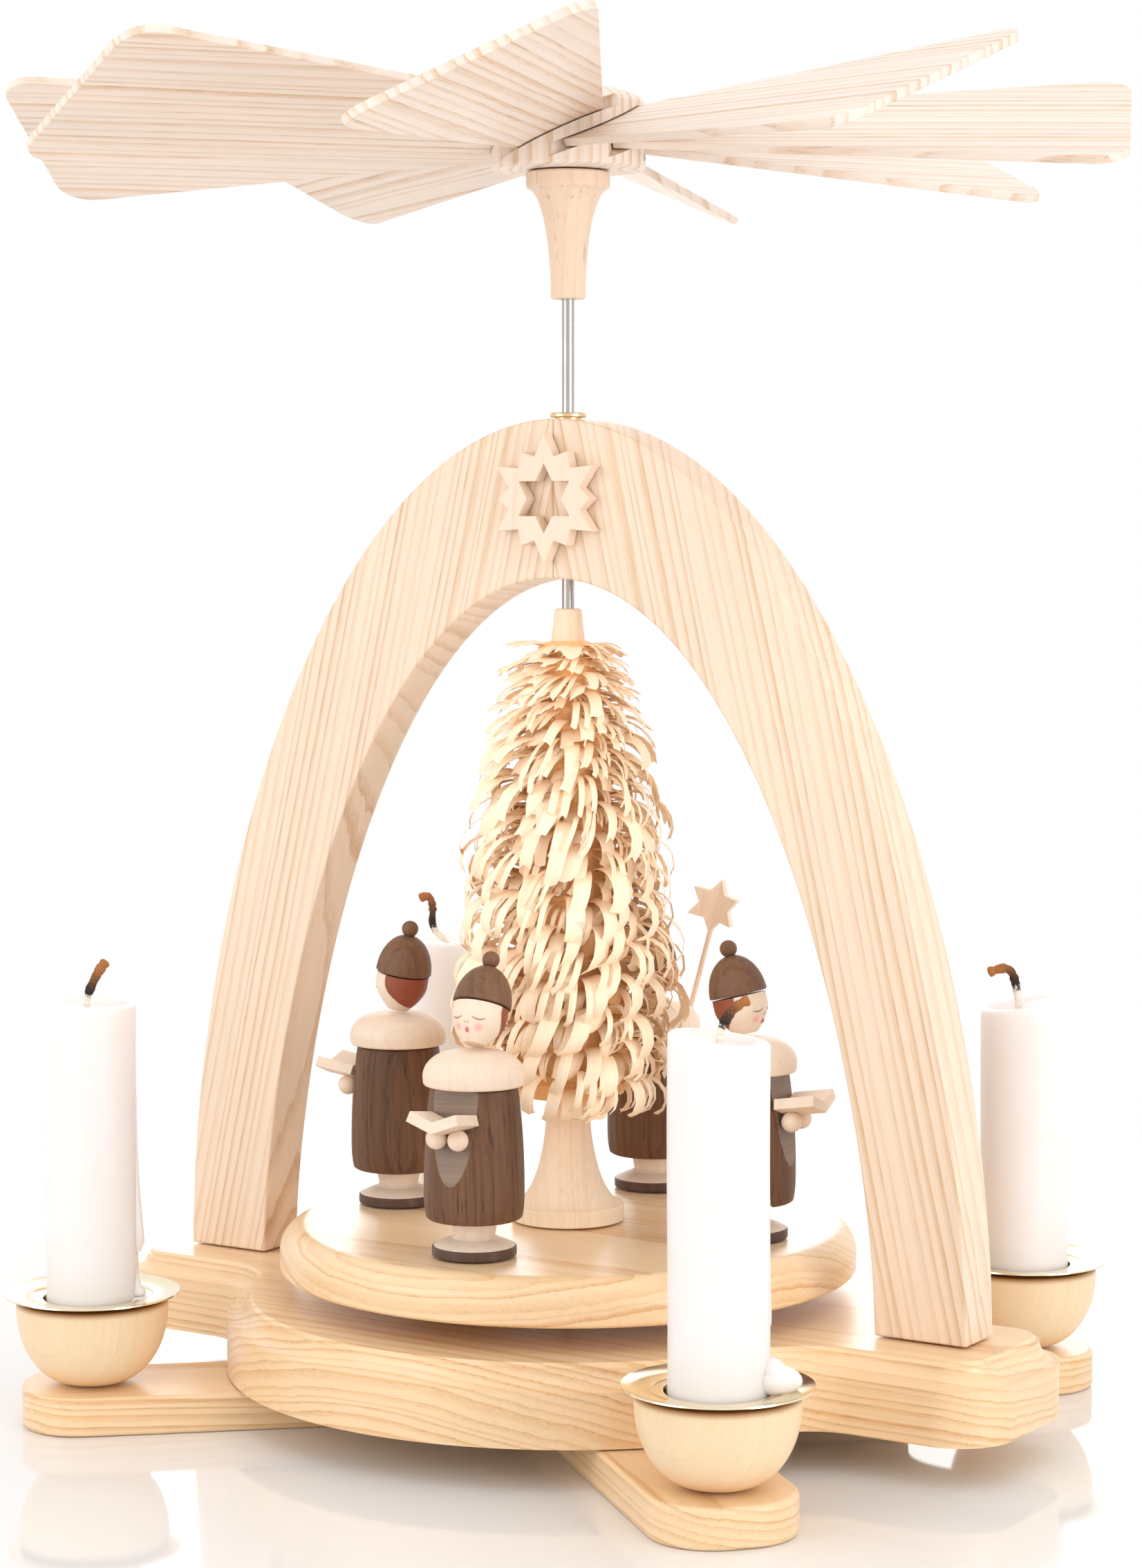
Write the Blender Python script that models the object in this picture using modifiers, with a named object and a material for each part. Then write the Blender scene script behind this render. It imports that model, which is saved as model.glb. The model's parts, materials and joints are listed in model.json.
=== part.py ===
"""Christmas pyramid of natural ash, one tier, turned by the warm air of four candles.

Two crossed foot bars carry the base plate and four candle cups. A glued arch stands on
the base plate and holds the bush that guides a steel shaft. The shaft turns on a point
in the base plate and carries the turntable with the shaved tree and four singers, and
above the arch the wheel of eight wings.

Lengths are metres and angles are degrees. +Z is up, the origin lies on the floor under
the shaft, the arch stands in the XZ plane and the front of the object faces -Y.
"""
import math

import bmesh
import bpy
from mathutils import Matrix, Vector

# Clearance between pieces that touch, and facets of round pieces
GAP = 0.0003
DISC_SEGMENTS = 36
CUP_SEGMENTS = 18
SMALL_SEGMENTS = 12
ARC_STEPS = 5

# Foot bars and the places of the candle cups on them
FOOT_THICKNESS = 0.0072
FOOT_WIDTH = 0.0260
FOOT_OVERHANG = 0.0130
FOOT_CORNER_RADIUS = 0.0110
CUP_REACH_X = 0.0668
CUP_REACH_Y = 0.0596

# Base plate: a disc with two lobes, a cove and a small riser round its upper edge
BASE_THICKNESS = 0.0141
BASE_DISC_RADIUS = 0.0645
BASE_LOBE_REACH = 0.0965
BASE_LOBE_WIDTH = 0.0390
BASE_LOBE_CORNER = 0.0110
BASE_FILLET_RADIUS = 0.0130
COVE_INSET = 0.0036
COVE_HEIGHT = 0.0034
COVE_STEPS = 3
RISER_LEDGE = 0.0006
RISER_HEIGHT = 0.0008
RISER_DRAFT = 0.0001

# Arch: an outer edge, and an inner one set in by the leg's width and the crown's depth
ARCH_THICKNESS = 0.0109
ARCH_HALF_SPAN = 0.0860
ARCH_RISE = 0.1637
ARCH_LEG_WIDTH = 0.0182
ARCH_CROWN_DEPTH = 0.0295
ARCH_OUTER_SHAPE = (1.97, 1.79)
ARCH_INNER_SHAPE = (2.06, 1.62)
ARCH_STEPS = 22
SCREW_RADIUS = 0.0015
SCREW_HEAD_RADIUS = 0.0030
SCREW_HEAD_DEPTH = 0.0020
SCREW_GRIP_IN_LEG = 0.0150

# Star on the crown: long and short points, the valleys between them, and a cut-out
ARCH_STAR_THICKNESS = 0.0028
ARCH_STAR_LONG_RADIUS = 0.0121
ARCH_STAR_SHORT_RADIUS = 0.0100
ARCH_STAR_VALLEY_RADIUS = 0.0080
ARCH_STAR_HOLE_RADIUS = 0.0064
ARCH_STAR_HOLE_VALLEY_RADIUS = 0.0037

# Shaft and its two bearings
SHAFT_RADIUS = 0.00115
SHAFT_POINT_LENGTH = 0.0025
SHAFT_GRIP_IN_HUB = 0.0090
BUSH_RADIUS = 0.0025
BUSH_LENGTH = 0.0110
BUSH_FLANGE_RADIUS = 0.0034
BUSH_FLANGE_THICKNESS = 0.0009
CROWN_BORE_RADIUS = 0.0020
PIVOT_RADIUS = 0.0040
PIVOT_HEIGHT = 0.0070
PIVOT_SEAT_DEPTH = 0.0030

# Turntable
TURNTABLE_CLEARANCE = 0.0046
TURNTABLE_RADIUS = 0.0545
TURNTABLE_THICKNESS = 0.0085
TURNTABLE_EDGE_INSET = 0.0048
TURNTABLE_EDGE_DROP = 0.0050
TURNTABLE_FOOT_ROUND = 0.0008

# Tree trunk
TRUNK_HEIGHT = 0.0235
TRUNK_FOOT_RADIUS = 0.01065
TRUNK_RIM_HEIGHT = 0.0032
TRUNK_NECK_RADIUS = 0.0040

# Shaved tree: a turned core with tiers of curls cut from it and left standing
TREE_CORE_BOTTOM_RADIUS = 0.0092
TREE_CORE_TOP_RADIUS = 0.0040
TREE_BODY_HEIGHT = 0.0856
TREE_TIP_RADIUS = 0.0026
TREE_TIP_HEIGHT = 0.0060
TREE_WIDEST_RADIUS = 0.0215
TREE_TOP_RADIUS = 0.0095
TREE_SWELL = 0.52
TREE_TIERS = 13
TREE_FIRST_TIER = 0.4
TREE_CURLS = 8
CURL_THICKNESS = 0.0008
CURL_WIDTH = 0.0040
# Path of a curl: share of its reach, rise, share of its width, slope
CURL_PATH = (
    (0.45, 0.0012, 1.0, 15.0),
    (0.88, 0.0004, 1.0, 50.0),
    (1.0, -0.0036, 0.8, 85.0),
)

# Wing wheel above the arch
STEM_LIFT = 0.0222
STEM_HEIGHT = 0.0234
STEM_TOP_RADIUS = 0.0078
STEM_BAND_HEIGHT = 0.0030
STEM_BOTTOM_RADIUS = 0.0032
HUB_RADIUS = 0.0144
HUB_HEIGHT = 0.0155
HUB_EDGE = 0.0008
HUB_DOME = 0.0036
HUB_CORE_RADIUS = 0.0092
WING_COUNT = 8
WING_START_ANGLE = 22.9
WING_PITCH = 23.5
WING_HEIGHT_IN_HUB = 0.0072
WING_TIP_RADIUS = 0.1030
WING_TIP_WIDTH = 0.0465
WING_ROOT_WIDTH = 0.0186
WING_THICKNESS = 0.0016
WING_TIP_CORNER = 0.0060

# Candle cups, drip dishes and candles
CUP_HEIGHT = 0.0155
CUP_RADIUS = 0.0140
CUP_FLAT_RADIUS = 0.0040
CUP_RIM = 0.0016
SOCKET_DEPTH = 0.0102
DISH_THICKNESS = 0.0004
DISH_RIM_RADIUS = 0.0163
DISH_RIM_HEIGHT = 0.0005
DISH_WELL_RADIUS = 0.0110
DISH_STEP = 0.0004
DISH_SLEEVE_LENGTH = 0.0060
CANDLE_RADIUS = 0.0085
CANDLE_LENGTH = {
    "front_right": 0.0692,
    "front_left": 0.0653,
    "back_right": 0.0611,
    "back_left": 0.0650,
}
CANDLE_EDGE = 0.0008
CANDLE_BOWL_DEPTH = 0.0010
WICK_RADIUS = 0.0006
WICK_HEIGHT = 0.0080

# Singers on the turntable, each standing at an angle from the front and facing outward
SINGER_RING_RADIUS = 0.0370
SINGER_ANGLES = (5.0, 95.0, 185.0, 275.0)
STAR_BEARER = 3
SINGER_FOOT_RADIUS = 0.0077
SINGER_FOOT_RIM = 0.0015
SINGER_FOOT_CONE = 0.0017
SINGER_LEG_RADIUS = 0.0040
SINGER_LEG_LENGTH = 0.0032
COAT_HEIGHT = 0.0239
COAT_TOP_RADIUS = 0.0079
COAT_BELLY_RADIUS = 0.0091
COAT_HEM_RADIUS = 0.0084
COAT_BELLY_HEIGHT = 0.0053
COAT_HEM_HEIGHT = 0.0018
COAT_STEPS = 4
COAT_FLAT_TOP_DEPTH = 0.0014
COAT_FLAT_LENGTH = 0.0170
COLLAR_RADIUS = 0.0093
COLLAR_HEIGHT = 0.0061
COLLAR_RIM = 0.0015
COLLAR_TOP_RADIUS = 0.0034
HEAD_TILTS = (24.0, 14.0, 14.0, 10.0)
HEAD_HEIGHT = 0.0070
HEAD_RADIUS = 0.0050
NECK_RADIUS = 0.0020
# Share of the way from the neck to the widest, and of the head's height
HEAD_SHAPE = ((1.0, 1.0), (1.0, 0.75), (0.88, 0.5), (0.6, 0.28), (0.2, 0.1), (0.0, 0.0))
CAP_RADIUS = 0.0053
CAP_HEIGHT = 0.0074
BOBBLE_RADIUS = 0.0016
BOBBLE_NECK_RADIUS = 0.0008
BOBBLE_LIFT = 0.0012
HAND_RADIUS = 0.0019
HAND_SPACING = 0.0044
HAND_HEIGHT_ON_COAT = 0.0157
BOOK_DEPTH = 0.0080
BOOK_LEAF_WIDTH = 0.0056
BOOK_THICKNESS = 0.0020
BOOK_LEAF_ANGLE = 20.0
BOOK_LIFT = 0.0006
STAFF_RADIUS = 0.0005
STAFF_GRIP = 0.0002
STAFF_LENGTH = 0.0342
STAFF_LEAN = 15.5
STAFF_STAR_RADIUS = 0.0053
STAFF_STAR_THICKNESS = 0.0028

# Heights that follow from the sizes above
BASE_BOTTOM = FOOT_THICKNESS + GAP
BASE_TOP = BASE_BOTTOM + BASE_THICKNESS
ARCH_BOTTOM = BASE_TOP + GAP
ARCH_TOP = ARCH_BOTTOM + ARCH_RISE
TURNTABLE_BOTTOM = BASE_TOP + TURNTABLE_CLEARANCE
TURNTABLE_TOP = TURNTABLE_BOTTOM + TURNTABLE_THICKNESS
TRUNK_BOTTOM = TURNTABLE_TOP + GAP
TREE_BOTTOM = TRUNK_BOTTOM + TRUNK_HEIGHT + GAP
STEM_BOTTOM = ARCH_TOP + STEM_LIFT
HUB_BOTTOM = STEM_BOTTOM + STEM_HEIGHT + GAP
WING_AXIS_HEIGHT = HUB_BOTTOM + WING_HEIGHT_IN_HUB
CUP_BOTTOM = FOOT_THICKNESS + GAP
DISH_BOTTOM = CUP_BOTTOM + CUP_HEIGHT + GAP
SHAFT_BORE = SHAFT_RADIUS + GAP
SOCKET_RADIUS = CANDLE_RADIUS + DISH_THICKNESS + 2 * GAP
SCREW_X = ARCH_HALF_SPAN - ARCH_LEG_WIDTH / 2
FOOT_ANGLE = math.degrees(math.atan2(CUP_REACH_Y, CUP_REACH_X))
CUP_RADIAL_REACH = math.hypot(CUP_REACH_X, CUP_REACH_Y)

PARTS_NAME = "christmas_pyramid"
CUTTERS_NAME = "cutters"

MATERIALS = {
    "ash": ((0.80, 0.57, 0.33, 1.0), 0.45, 0.0),
    "pale_ash": ((0.86, 0.68, 0.50, 1.0), 0.50, 0.0),
    "maple": ((0.86, 0.70, 0.50, 1.0), 0.45, 0.0),
    "beech": ((0.80, 0.58, 0.42, 1.0), 0.50, 0.0),
    "linden": ((0.87, 0.66, 0.40, 1.0), 0.60, 0.0),
    "stained": ((0.085, 0.065, 0.050, 1.0), 0.50, 0.0),
    "brass": ((0.78, 0.58, 0.24, 1.0), 0.25, 1.0),
    "steel": ((0.62, 0.62, 0.62, 1.0), 0.25, 1.0),
    "wax": ((0.90, 0.88, 0.86, 1.0), 0.40, 0.0),
}


# Scene, collections and materials

def clear_scene():
    """Remove every object, so that the model starts alone."""
    for obj in list(bpy.data.objects):
        bpy.data.objects.remove(obj, do_unlink=True)


def collection(name):
    """Return the collection of that name, linked to the scene."""
    found = bpy.data.collections.get(name)
    if found is None:
        found = bpy.data.collections.new(name)
        bpy.context.scene.collection.children.link(found)
    return found


def material(piece, kind):
    """Make the material of one piece from a named kind of wood, metal or wax."""
    colour, roughness, metallic = MATERIALS[kind]
    result = bpy.data.materials.new(f"{piece}_{kind}")
    result.use_nodes = True
    shader = result.node_tree.nodes["Principled BSDF"]
    shader.inputs["Base Color"].default_value = colour
    shader.inputs["Roughness"].default_value = roughness
    shader.inputs["Metallic"].default_value = metallic
    return result


def add_part(name, mesh, kind, parent=None, matrix=None):
    """Put one named piece into the object's collection, in its parent's frame."""
    obj = bpy.data.objects.new(name, mesh)
    collection(PARTS_NAME).objects.link(obj)
    obj.parent = parent
    if matrix is not None:
        obj.matrix_local = matrix
    mesh.materials.clear()
    mesh.materials.append(material(name, kind))
    return obj


def add_cutter(name, mesh, matrix=None, parent=None):
    """Put a cutting or joining body into the cutters' collection."""
    obj = bpy.data.objects.new(name, mesh)
    collection(CUTTERS_NAME).objects.link(obj)
    obj.parent = parent
    if matrix is not None:
        obj.matrix_local = matrix
    obj.hide_render = True
    obj.display_type = "WIRE"
    return obj


def add_empty(name, matrix, parent=None):
    """Add a frame for pieces that move or stand together."""
    obj = bpy.data.objects.new(name, None)
    collection(PARTS_NAME).objects.link(obj)
    obj.parent = parent
    obj.matrix_local = matrix
    return obj


def boolean(obj, other, operation="DIFFERENCE", solver="EXACT"):
    """Cut another body out of a piece, or join it on."""
    step = obj.modifiers.new(other.name, "BOOLEAN")
    step.operation = operation
    step.solver = solver
    step.object = other


# Shapes

def move(x=0.0, y=0.0, z=0.0):
    """Return a translation."""
    return Matrix.Translation((x, y, z))


def turn(degrees, axis="Z"):
    """Return a rotation about one axis of the frame."""
    return Matrix.Rotation(math.radians(degrees), 4, axis)


def outward(degrees):
    """Return the rotation whose +X looks outward at an angle from the front."""
    return turn(degrees - 90.0)


def arc(centre, radius, start, end, steps=ARC_STEPS):
    """Return points on a circle from one angle to another."""
    return ellipse(centre, (radius, radius), start, end, steps)


def ellipse(centre, radii, start, end, steps=ARC_STEPS):
    """Return points on an upright ellipse from one angle to another."""
    points = []
    for i in range(steps + 1):
        angle = math.radians(start + (end - start) * i / steps)
        points.append((centre[0] + radii[0] * math.cos(angle),
                       centre[1] + radii[1] * math.sin(angle)))
    return points


def turned_mesh(name, profile, closed=False):
    """Make the profile of a turned piece from (radius, height) points, top to bottom."""
    mesh = bpy.data.meshes.new(name)
    bm = bmesh.new()
    verts = [bm.verts.new((radius, 0.0, height)) for radius, height in profile]
    for upper, lower in zip(verts, verts[1:]):
        bm.edges.new((upper, lower))
    if closed:
        bm.edges.new((verts[-1], verts[0]))
    bm.to_mesh(mesh)
    bm.free()
    return mesh


def lathe(obj, segments):
    """Turn a piece's profile about its own Z axis."""
    step = obj.modifiers.new("Turned", "SCREW")
    step.axis = "Z"
    step.angle = math.tau
    step.steps = segments
    step.render_steps = segments
    step.use_merge_vertices = True
    step.merge_threshold = 0.000001
    step.use_smooth_shade = True


def turned(name, profile, kind, segments, parent=None, matrix=None, bore=None):
    """Make a turned piece, solid to its axis or with a bore right through."""
    points = list(profile)
    if bore is None:
        points = [(0.0, points[0][1])] + points + [(0.0, points[-1][1])]
    else:
        points += [(bore, points[-1][1]), (bore, points[0][1])]
    obj = add_part(name, turned_mesh(name, points, bore is not None), kind, parent, matrix)
    lathe(obj, segments)
    return obj


def prism_mesh(name, outlines, thickness):
    """Make a flat plate of that thickness about its own XY plane from closed outlines."""
    curve = bpy.data.curves.new(name, "CURVE")
    curve.dimensions = "2D"
    curve.fill_mode = "BOTH"
    curve.extrude = thickness / 2
    for outline in outlines:
        spline = curve.splines.new("POLY")
        spline.points.add(len(outline) - 1)
        for point, (x, y) in zip(spline.points, outline):
            point.co = (x, y, 0.0, 1.0)
        spline.use_cyclic_u = True
    holder = bpy.data.objects.new(name, curve)
    bpy.context.scene.collection.objects.link(holder)
    depsgraph = bpy.context.evaluated_depsgraph_get()
    mesh = bpy.data.meshes.new_from_object(holder.evaluated_get(depsgraph))
    bpy.data.objects.remove(holder, do_unlink=True)
    bm = bmesh.new()
    bm.from_mesh(mesh)
    bmesh.ops.remove_doubles(bm, verts=bm.verts, dist=0.000001)
    bmesh.ops.recalc_face_normals(bm, faces=bm.faces)
    bm.to_mesh(mesh)
    bm.free()
    mesh.name = name
    return mesh


def box_mesh(name, low, high):
    """Make a box between two corners."""
    mesh = bpy.data.meshes.new(name)
    bm = bmesh.new()
    bmesh.ops.create_cube(bm, size=1.0)
    size = Vector(high) - Vector(low)
    bmesh.ops.scale(bm, vec=size, verts=bm.verts)
    bmesh.ops.translate(bm, vec=Vector(low) + size / 2, verts=bm.verts)
    bm.to_mesh(mesh)
    bm.free()
    return mesh


def rod_mesh(name, radius, bottom, top, segments=SMALL_SEGMENTS):
    """Make an upright cylinder between two heights."""
    mesh = bpy.data.meshes.new(name)
    bm = bmesh.new()
    bmesh.ops.create_cone(bm, cap_ends=True, segments=segments, radius1=radius, radius2=radius,
                          depth=top - bottom)
    bmesh.ops.translate(bm, vec=(0.0, 0.0, (top + bottom) / 2), verts=bm.verts)
    bm.to_mesh(mesh)
    bm.free()
    return mesh


def ball_mesh(name, radius):
    """Make a small ball."""
    mesh = bpy.data.meshes.new(name)
    bm = bmesh.new()
    bmesh.ops.create_icosphere(bm, subdivisions=2, radius=radius)
    bm.to_mesh(mesh)
    bm.free()
    return mesh


def star_outline(radii, points, start=90.0):
    """Return a star whose points and valleys take their radii in turn."""
    outline = []
    count = points * len(radii)
    for i in range(count):
        angle = math.radians(start + 360.0 * i / count)
        radius = radii[i % len(radii)]
        outline.append((radius * math.cos(angle), radius * math.sin(angle)))
    return outline


def rounded_rectangle(length, width, radius):
    """Return a rectangle with round corners, centred on its frame."""
    x = length / 2 - radius
    y = width / 2 - radius
    outline = []
    for quarter, (sx, sy) in enumerate(((1, 1), (-1, 1), (-1, -1), (1, -1))):
        outline += arc((sx * x, sy * y), radius, 90.0 * quarter, 90.0 * quarter + 90.0)
    return outline


# Feet, base plate and arch

def build_foot_bars():
    """Two bars with round ends, half-lapped where they cross."""
    length = 2 * (CUP_RADIAL_REACH + FOOT_OVERHANG)
    outline = rounded_rectangle(length, FOOT_WIDTH, FOOT_CORNER_RADIUS)
    middle = FOOT_THICKNESS / 2
    lap_half = FOOT_WIDTH / 2 + GAP
    for name, sign, low, high in (
        ("foot_bar_1", 1, middle - GAP / 2, FOOT_THICKNESS + FOOT_WIDTH),
        ("foot_bar_2", -1, -FOOT_WIDTH, middle + GAP / 2),
    ):
        bar = add_part(name, prism_mesh(name, [outline], FOOT_THICKNESS), "ash",
                       matrix=move(z=middle) @ turn(sign * FOOT_ANGLE))
        lap = box_mesh(f"{name}_lap", (-2 * FOOT_WIDTH, -lap_half, low),
                       (2 * FOOT_WIDTH, lap_half, high))
        boolean(bar, add_cutter(f"{name}_lap", lap, turn(-sign * FOOT_ANGLE)))


def base_outline():
    """Return the plan of the base plate: disc, lobes, and fillets where they meet."""
    half = BASE_LOBE_WIDTH / 2
    fillet_y = half + BASE_FILLET_RADIUS
    reach = BASE_DISC_RADIUS + BASE_FILLET_RADIUS
    fillet_x = math.sqrt(reach ** 2 - fillet_y ** 2)
    meet = math.degrees(math.atan2(fillet_y, fillet_x))
    corner = (BASE_LOBE_REACH - BASE_LOBE_CORNER, half - BASE_LOBE_CORNER)
    quarter = arc(corner, BASE_LOBE_CORNER, 0.0, 90.0)
    quarter += arc((fillet_x, fillet_y), BASE_FILLET_RADIUS, 270.0, 180.0 + meet)
    quarter += arc((0.0, 0.0), BASE_DISC_RADIUS, meet, 90.0, 2 * ARC_STEPS)[1:]
    half_plan = quarter + [(-x, y) for x, y in reversed(quarter[:-1])]
    return half_plan + [(-x, -y) for x, y in half_plan]


def build_base_plate():
    """A plate with a plain side, a cove and a riser, bored for the pivot and the screws."""
    mesh = bpy.data.meshes.new("base_plate")
    bm = bmesh.new()
    plan = bmesh.ops.contextual_create(
        bm, geom=[bm.verts.new((x, y, BASE_BOTTOM)) for x, y in base_outline()])["faces"]
    side = bmesh.ops.extrude_face_region(bm, geom=plan)["geom"]
    side_height = BASE_THICKNESS - COVE_HEIGHT - RISER_HEIGHT
    bmesh.ops.translate(bm, vec=(0.0, 0.0, side_height),
                        verts=[v for v in side if isinstance(v, bmesh.types.BMVert)])
    bmesh.ops.recalc_face_normals(bm, faces=bm.faces)
    top = max(bm.faces, key=lambda face: face.calc_center_median().z)
    cove = ellipse((0.0, COVE_HEIGHT), (COVE_INSET, COVE_HEIGHT), -90.0, 0.0, COVE_STEPS)
    ledge = COVE_INSET + RISER_LEDGE
    section = cove + [(ledge, COVE_HEIGHT), (ledge + RISER_DRAFT, COVE_HEIGHT + RISER_HEIGHT)]
    for (inset, height), (next_inset, next_height) in zip(section, section[1:]):
        bmesh.ops.inset_region(bm, faces=[top], thickness=next_inset - inset,
                               depth=next_height - height, use_even_offset=True, use_boundary=True)
    bm.to_mesh(mesh)
    bm.free()
    plate = add_part("base_plate", mesh, "ash")
    seat = rod_mesh("pivot_seat", PIVOT_RADIUS + GAP, BASE_TOP - PIVOT_HEIGHT - GAP,
                    BASE_TOP + PIVOT_HEIGHT, CUP_SEGMENTS)
    boolean(plate, add_cutter("pivot_seat", seat))
    for side_name, sign in (("left", -1), ("right", 1)):
        hole = turned_mesh(f"screw_hole_{side_name}", screw_profile(GAP, BASE_THICKNESS))
        cutter = add_cutter(f"screw_hole_{side_name}", hole,
                            move(sign * SCREW_X, 0.0, BASE_BOTTOM))
        lathe(cutter, SMALL_SEGMENTS)
        boolean(plate, cutter)


def screw_profile(slack, length):
    """Return a countersunk screw, or the hole for it when there is slack."""
    head = SCREW_HEAD_RADIUS + slack
    shank = SCREW_RADIUS + slack
    bottom = -slack if slack else GAP
    return [(0.0, length + slack), (shank, length + slack), (shank, SCREW_HEAD_DEPTH + slack),
            (head, 2 * GAP + slack), (head, bottom), (0.0, bottom)]


def build_arch_screws():
    """One wood screw up through the base plate into each leg."""
    length = BASE_THICKNESS + SCREW_GRIP_IN_LEG
    for side_name, sign in (("left", -1), ("right", 1)):
        name = f"arch_screw_{side_name}"
        screw = add_part(name, turned_mesh(name, screw_profile(0.0, length)), "steel",
                         matrix=move(sign * SCREW_X, 0.0, BASE_BOTTOM))
        lathe(screw, SMALL_SEGMENTS)


def arch_edge(half_span, rise, shape):
    """Return one edge of the right arch half from the leg's foot to the crown."""
    points = []
    for i in range(ARCH_STEPS + 1):
        angle = math.pi / 2 * i / ARCH_STEPS
        x = half_span * max(math.cos(angle), 0.0) ** (2 / shape[0])
        points.append((max(x, GAP / 2), rise * math.sin(angle) ** (2 / shape[1])))
    return points


def build_arch():
    """Two mirrored halves that meet at the crown, bored for the bush and the screws."""
    outer = arch_edge(ARCH_HALF_SPAN, ARCH_RISE, ARCH_OUTER_SHAPE)
    inner = arch_edge(ARCH_HALF_SPAN - ARCH_LEG_WIDTH, ARCH_RISE - ARCH_CROWN_DEPTH,
                      ARCH_INNER_SHAPE)
    bore = rod_mesh("crown_bore", CROWN_BORE_RADIUS, ARCH_TOP - 2 * ARCH_CROWN_DEPTH,
                    ARCH_TOP + BUSH_LENGTH)
    seat = rod_mesh("bush_seat", BUSH_RADIUS + GAP, ARCH_TOP - BUSH_LENGTH - GAP,
                    ARCH_TOP + BUSH_LENGTH)
    cutters = [add_cutter("crown_bore", bore), add_cutter("bush_seat", seat)]
    for side_name, sign in (("left", -1), ("right", 1)):
        name = f"arch_{side_name}"
        outline = [(sign * x, z) for x, z in outer + inner[::-1]]
        half = add_part(name, prism_mesh(name, [outline], ARCH_THICKNESS), "ash",
                        matrix=move(z=ARCH_BOTTOM) @ turn(90.0, "X"))
        for cutter in cutters:
            boolean(half, cutter)
        hole = rod_mesh(f"leg_hole_{side_name}", SCREW_RADIUS + GAP, BASE_TOP - SCREW_GRIP_IN_LEG,
                        BASE_TOP + SCREW_GRIP_IN_LEG + GAP)
        boolean(half, add_cutter(f"leg_hole_{side_name}", hole, move(sign * SCREW_X)))


def build_arch_star():
    """A flat star with six long and six short points and a star-shaped cut-out."""
    outer = star_outline((ARCH_STAR_LONG_RADIUS, ARCH_STAR_VALLEY_RADIUS,
                          ARCH_STAR_SHORT_RADIUS, ARCH_STAR_VALLEY_RADIUS), 6)
    hole = star_outline((ARCH_STAR_HOLE_RADIUS, ARCH_STAR_HOLE_VALLEY_RADIUS), 6)
    front = -(ARCH_THICKNESS + ARCH_STAR_THICKNESS) / 2 - GAP
    add_part("arch_star", prism_mesh("arch_star", [outer, hole], ARCH_STAR_THICKNESS), "maple",
             matrix=move(0.0, front, ARCH_TOP - ARCH_CROWN_DEPTH / 2) @ turn(90.0, "X"))


# Bearings and shaft

def build_bearings():
    """The flanged bush in the crown and the cup under the shaft's point."""
    flange_bottom = ARCH_TOP + GAP
    flange_top = flange_bottom + BUSH_FLANGE_THICKNESS
    turned("bearing_bush", [(BUSH_FLANGE_RADIUS, flange_top), (BUSH_FLANGE_RADIUS, flange_bottom),
                            (BUSH_RADIUS, flange_bottom), (BUSH_RADIUS, ARCH_TOP - BUSH_LENGTH)],
           "brass", SMALL_SEGMENTS, bore=SHAFT_BORE)
    bottom = BASE_TOP - PIVOT_HEIGHT
    profile = [(0.0, BASE_TOP - PIVOT_SEAT_DEPTH), (SHAFT_RADIUS + 2 * GAP, BASE_TOP),
               (PIVOT_RADIUS, BASE_TOP), (PIVOT_RADIUS, bottom), (0.0, bottom)]
    lathe(add_part("pivot_cup", turned_mesh("pivot_cup", profile), "brass"), SMALL_SEGMENTS)


def build_shaft(rotor):
    """A steel rod from its point in the pivot cup up into the wing hub."""
    point = BASE_TOP - PIVOT_SEAT_DEPTH + 2 * GAP
    turned("shaft", [(SHAFT_RADIUS, HUB_BOTTOM + SHAFT_GRIP_IN_HUB),
                     (SHAFT_RADIUS, point + SHAFT_POINT_LENGTH), (GAP / 2, point)],
           "steel", SMALL_SEGMENTS, rotor)


# Turntable, trunk and tree

def build_turntable(rotor):
    """A disc whose upper edge is rounded over."""
    shoulder = TURNTABLE_TOP - TURNTABLE_EDGE_DROP
    edge = ellipse((TURNTABLE_RADIUS - TURNTABLE_EDGE_INSET, shoulder),
                   (TURNTABLE_EDGE_INSET, TURNTABLE_EDGE_DROP), 90.0, 0.0)
    edge += [(TURNTABLE_RADIUS, TURNTABLE_BOTTOM + TURNTABLE_FOOT_ROUND),
             (TURNTABLE_RADIUS - TURNTABLE_FOOT_ROUND, TURNTABLE_BOTTOM)]
    turned("turntable", edge, "ash", DISC_SEGMENTS, rotor, bore=SHAFT_BORE)


def build_trunk(rotor):
    """A trunk that flares into a round foot with an upright rim."""
    rim_top = TRUNK_BOTTOM + TRUNK_RIM_HEIGHT
    flare_height = TRUNK_HEIGHT - TRUNK_RIM_HEIGHT
    flare = ellipse((TRUNK_FOOT_RADIUS, rim_top + flare_height),
                    (TRUNK_FOOT_RADIUS - TRUNK_NECK_RADIUS, flare_height), 180.0, 265.0)
    profile = flare + [(TRUNK_FOOT_RADIUS, rim_top - 2 * GAP), (TRUNK_FOOT_RADIUS, TRUNK_BOTTOM)]
    turned("tree_trunk", profile, "linden", CUP_SEGMENTS, rotor, bore=SHAFT_BORE)


def tree_radius(height):
    """Return how far the curls reach at a height above the foot of the tree."""
    share = min(max(1.0 - height / TREE_BODY_HEIGHT, 0.0), 1.0)
    return TREE_TOP_RADIUS + (TREE_WIDEST_RADIUS - TREE_TOP_RADIUS) * share ** TREE_SWELL


def core_radius(height):
    """Return the radius of the turned core at a height above the foot of the tree."""
    share = height / TREE_BODY_HEIGHT
    return TREE_CORE_BOTTOM_RADIUS + (TREE_CORE_TOP_RADIUS - TREE_CORE_BOTTOM_RADIUS) * share


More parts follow.
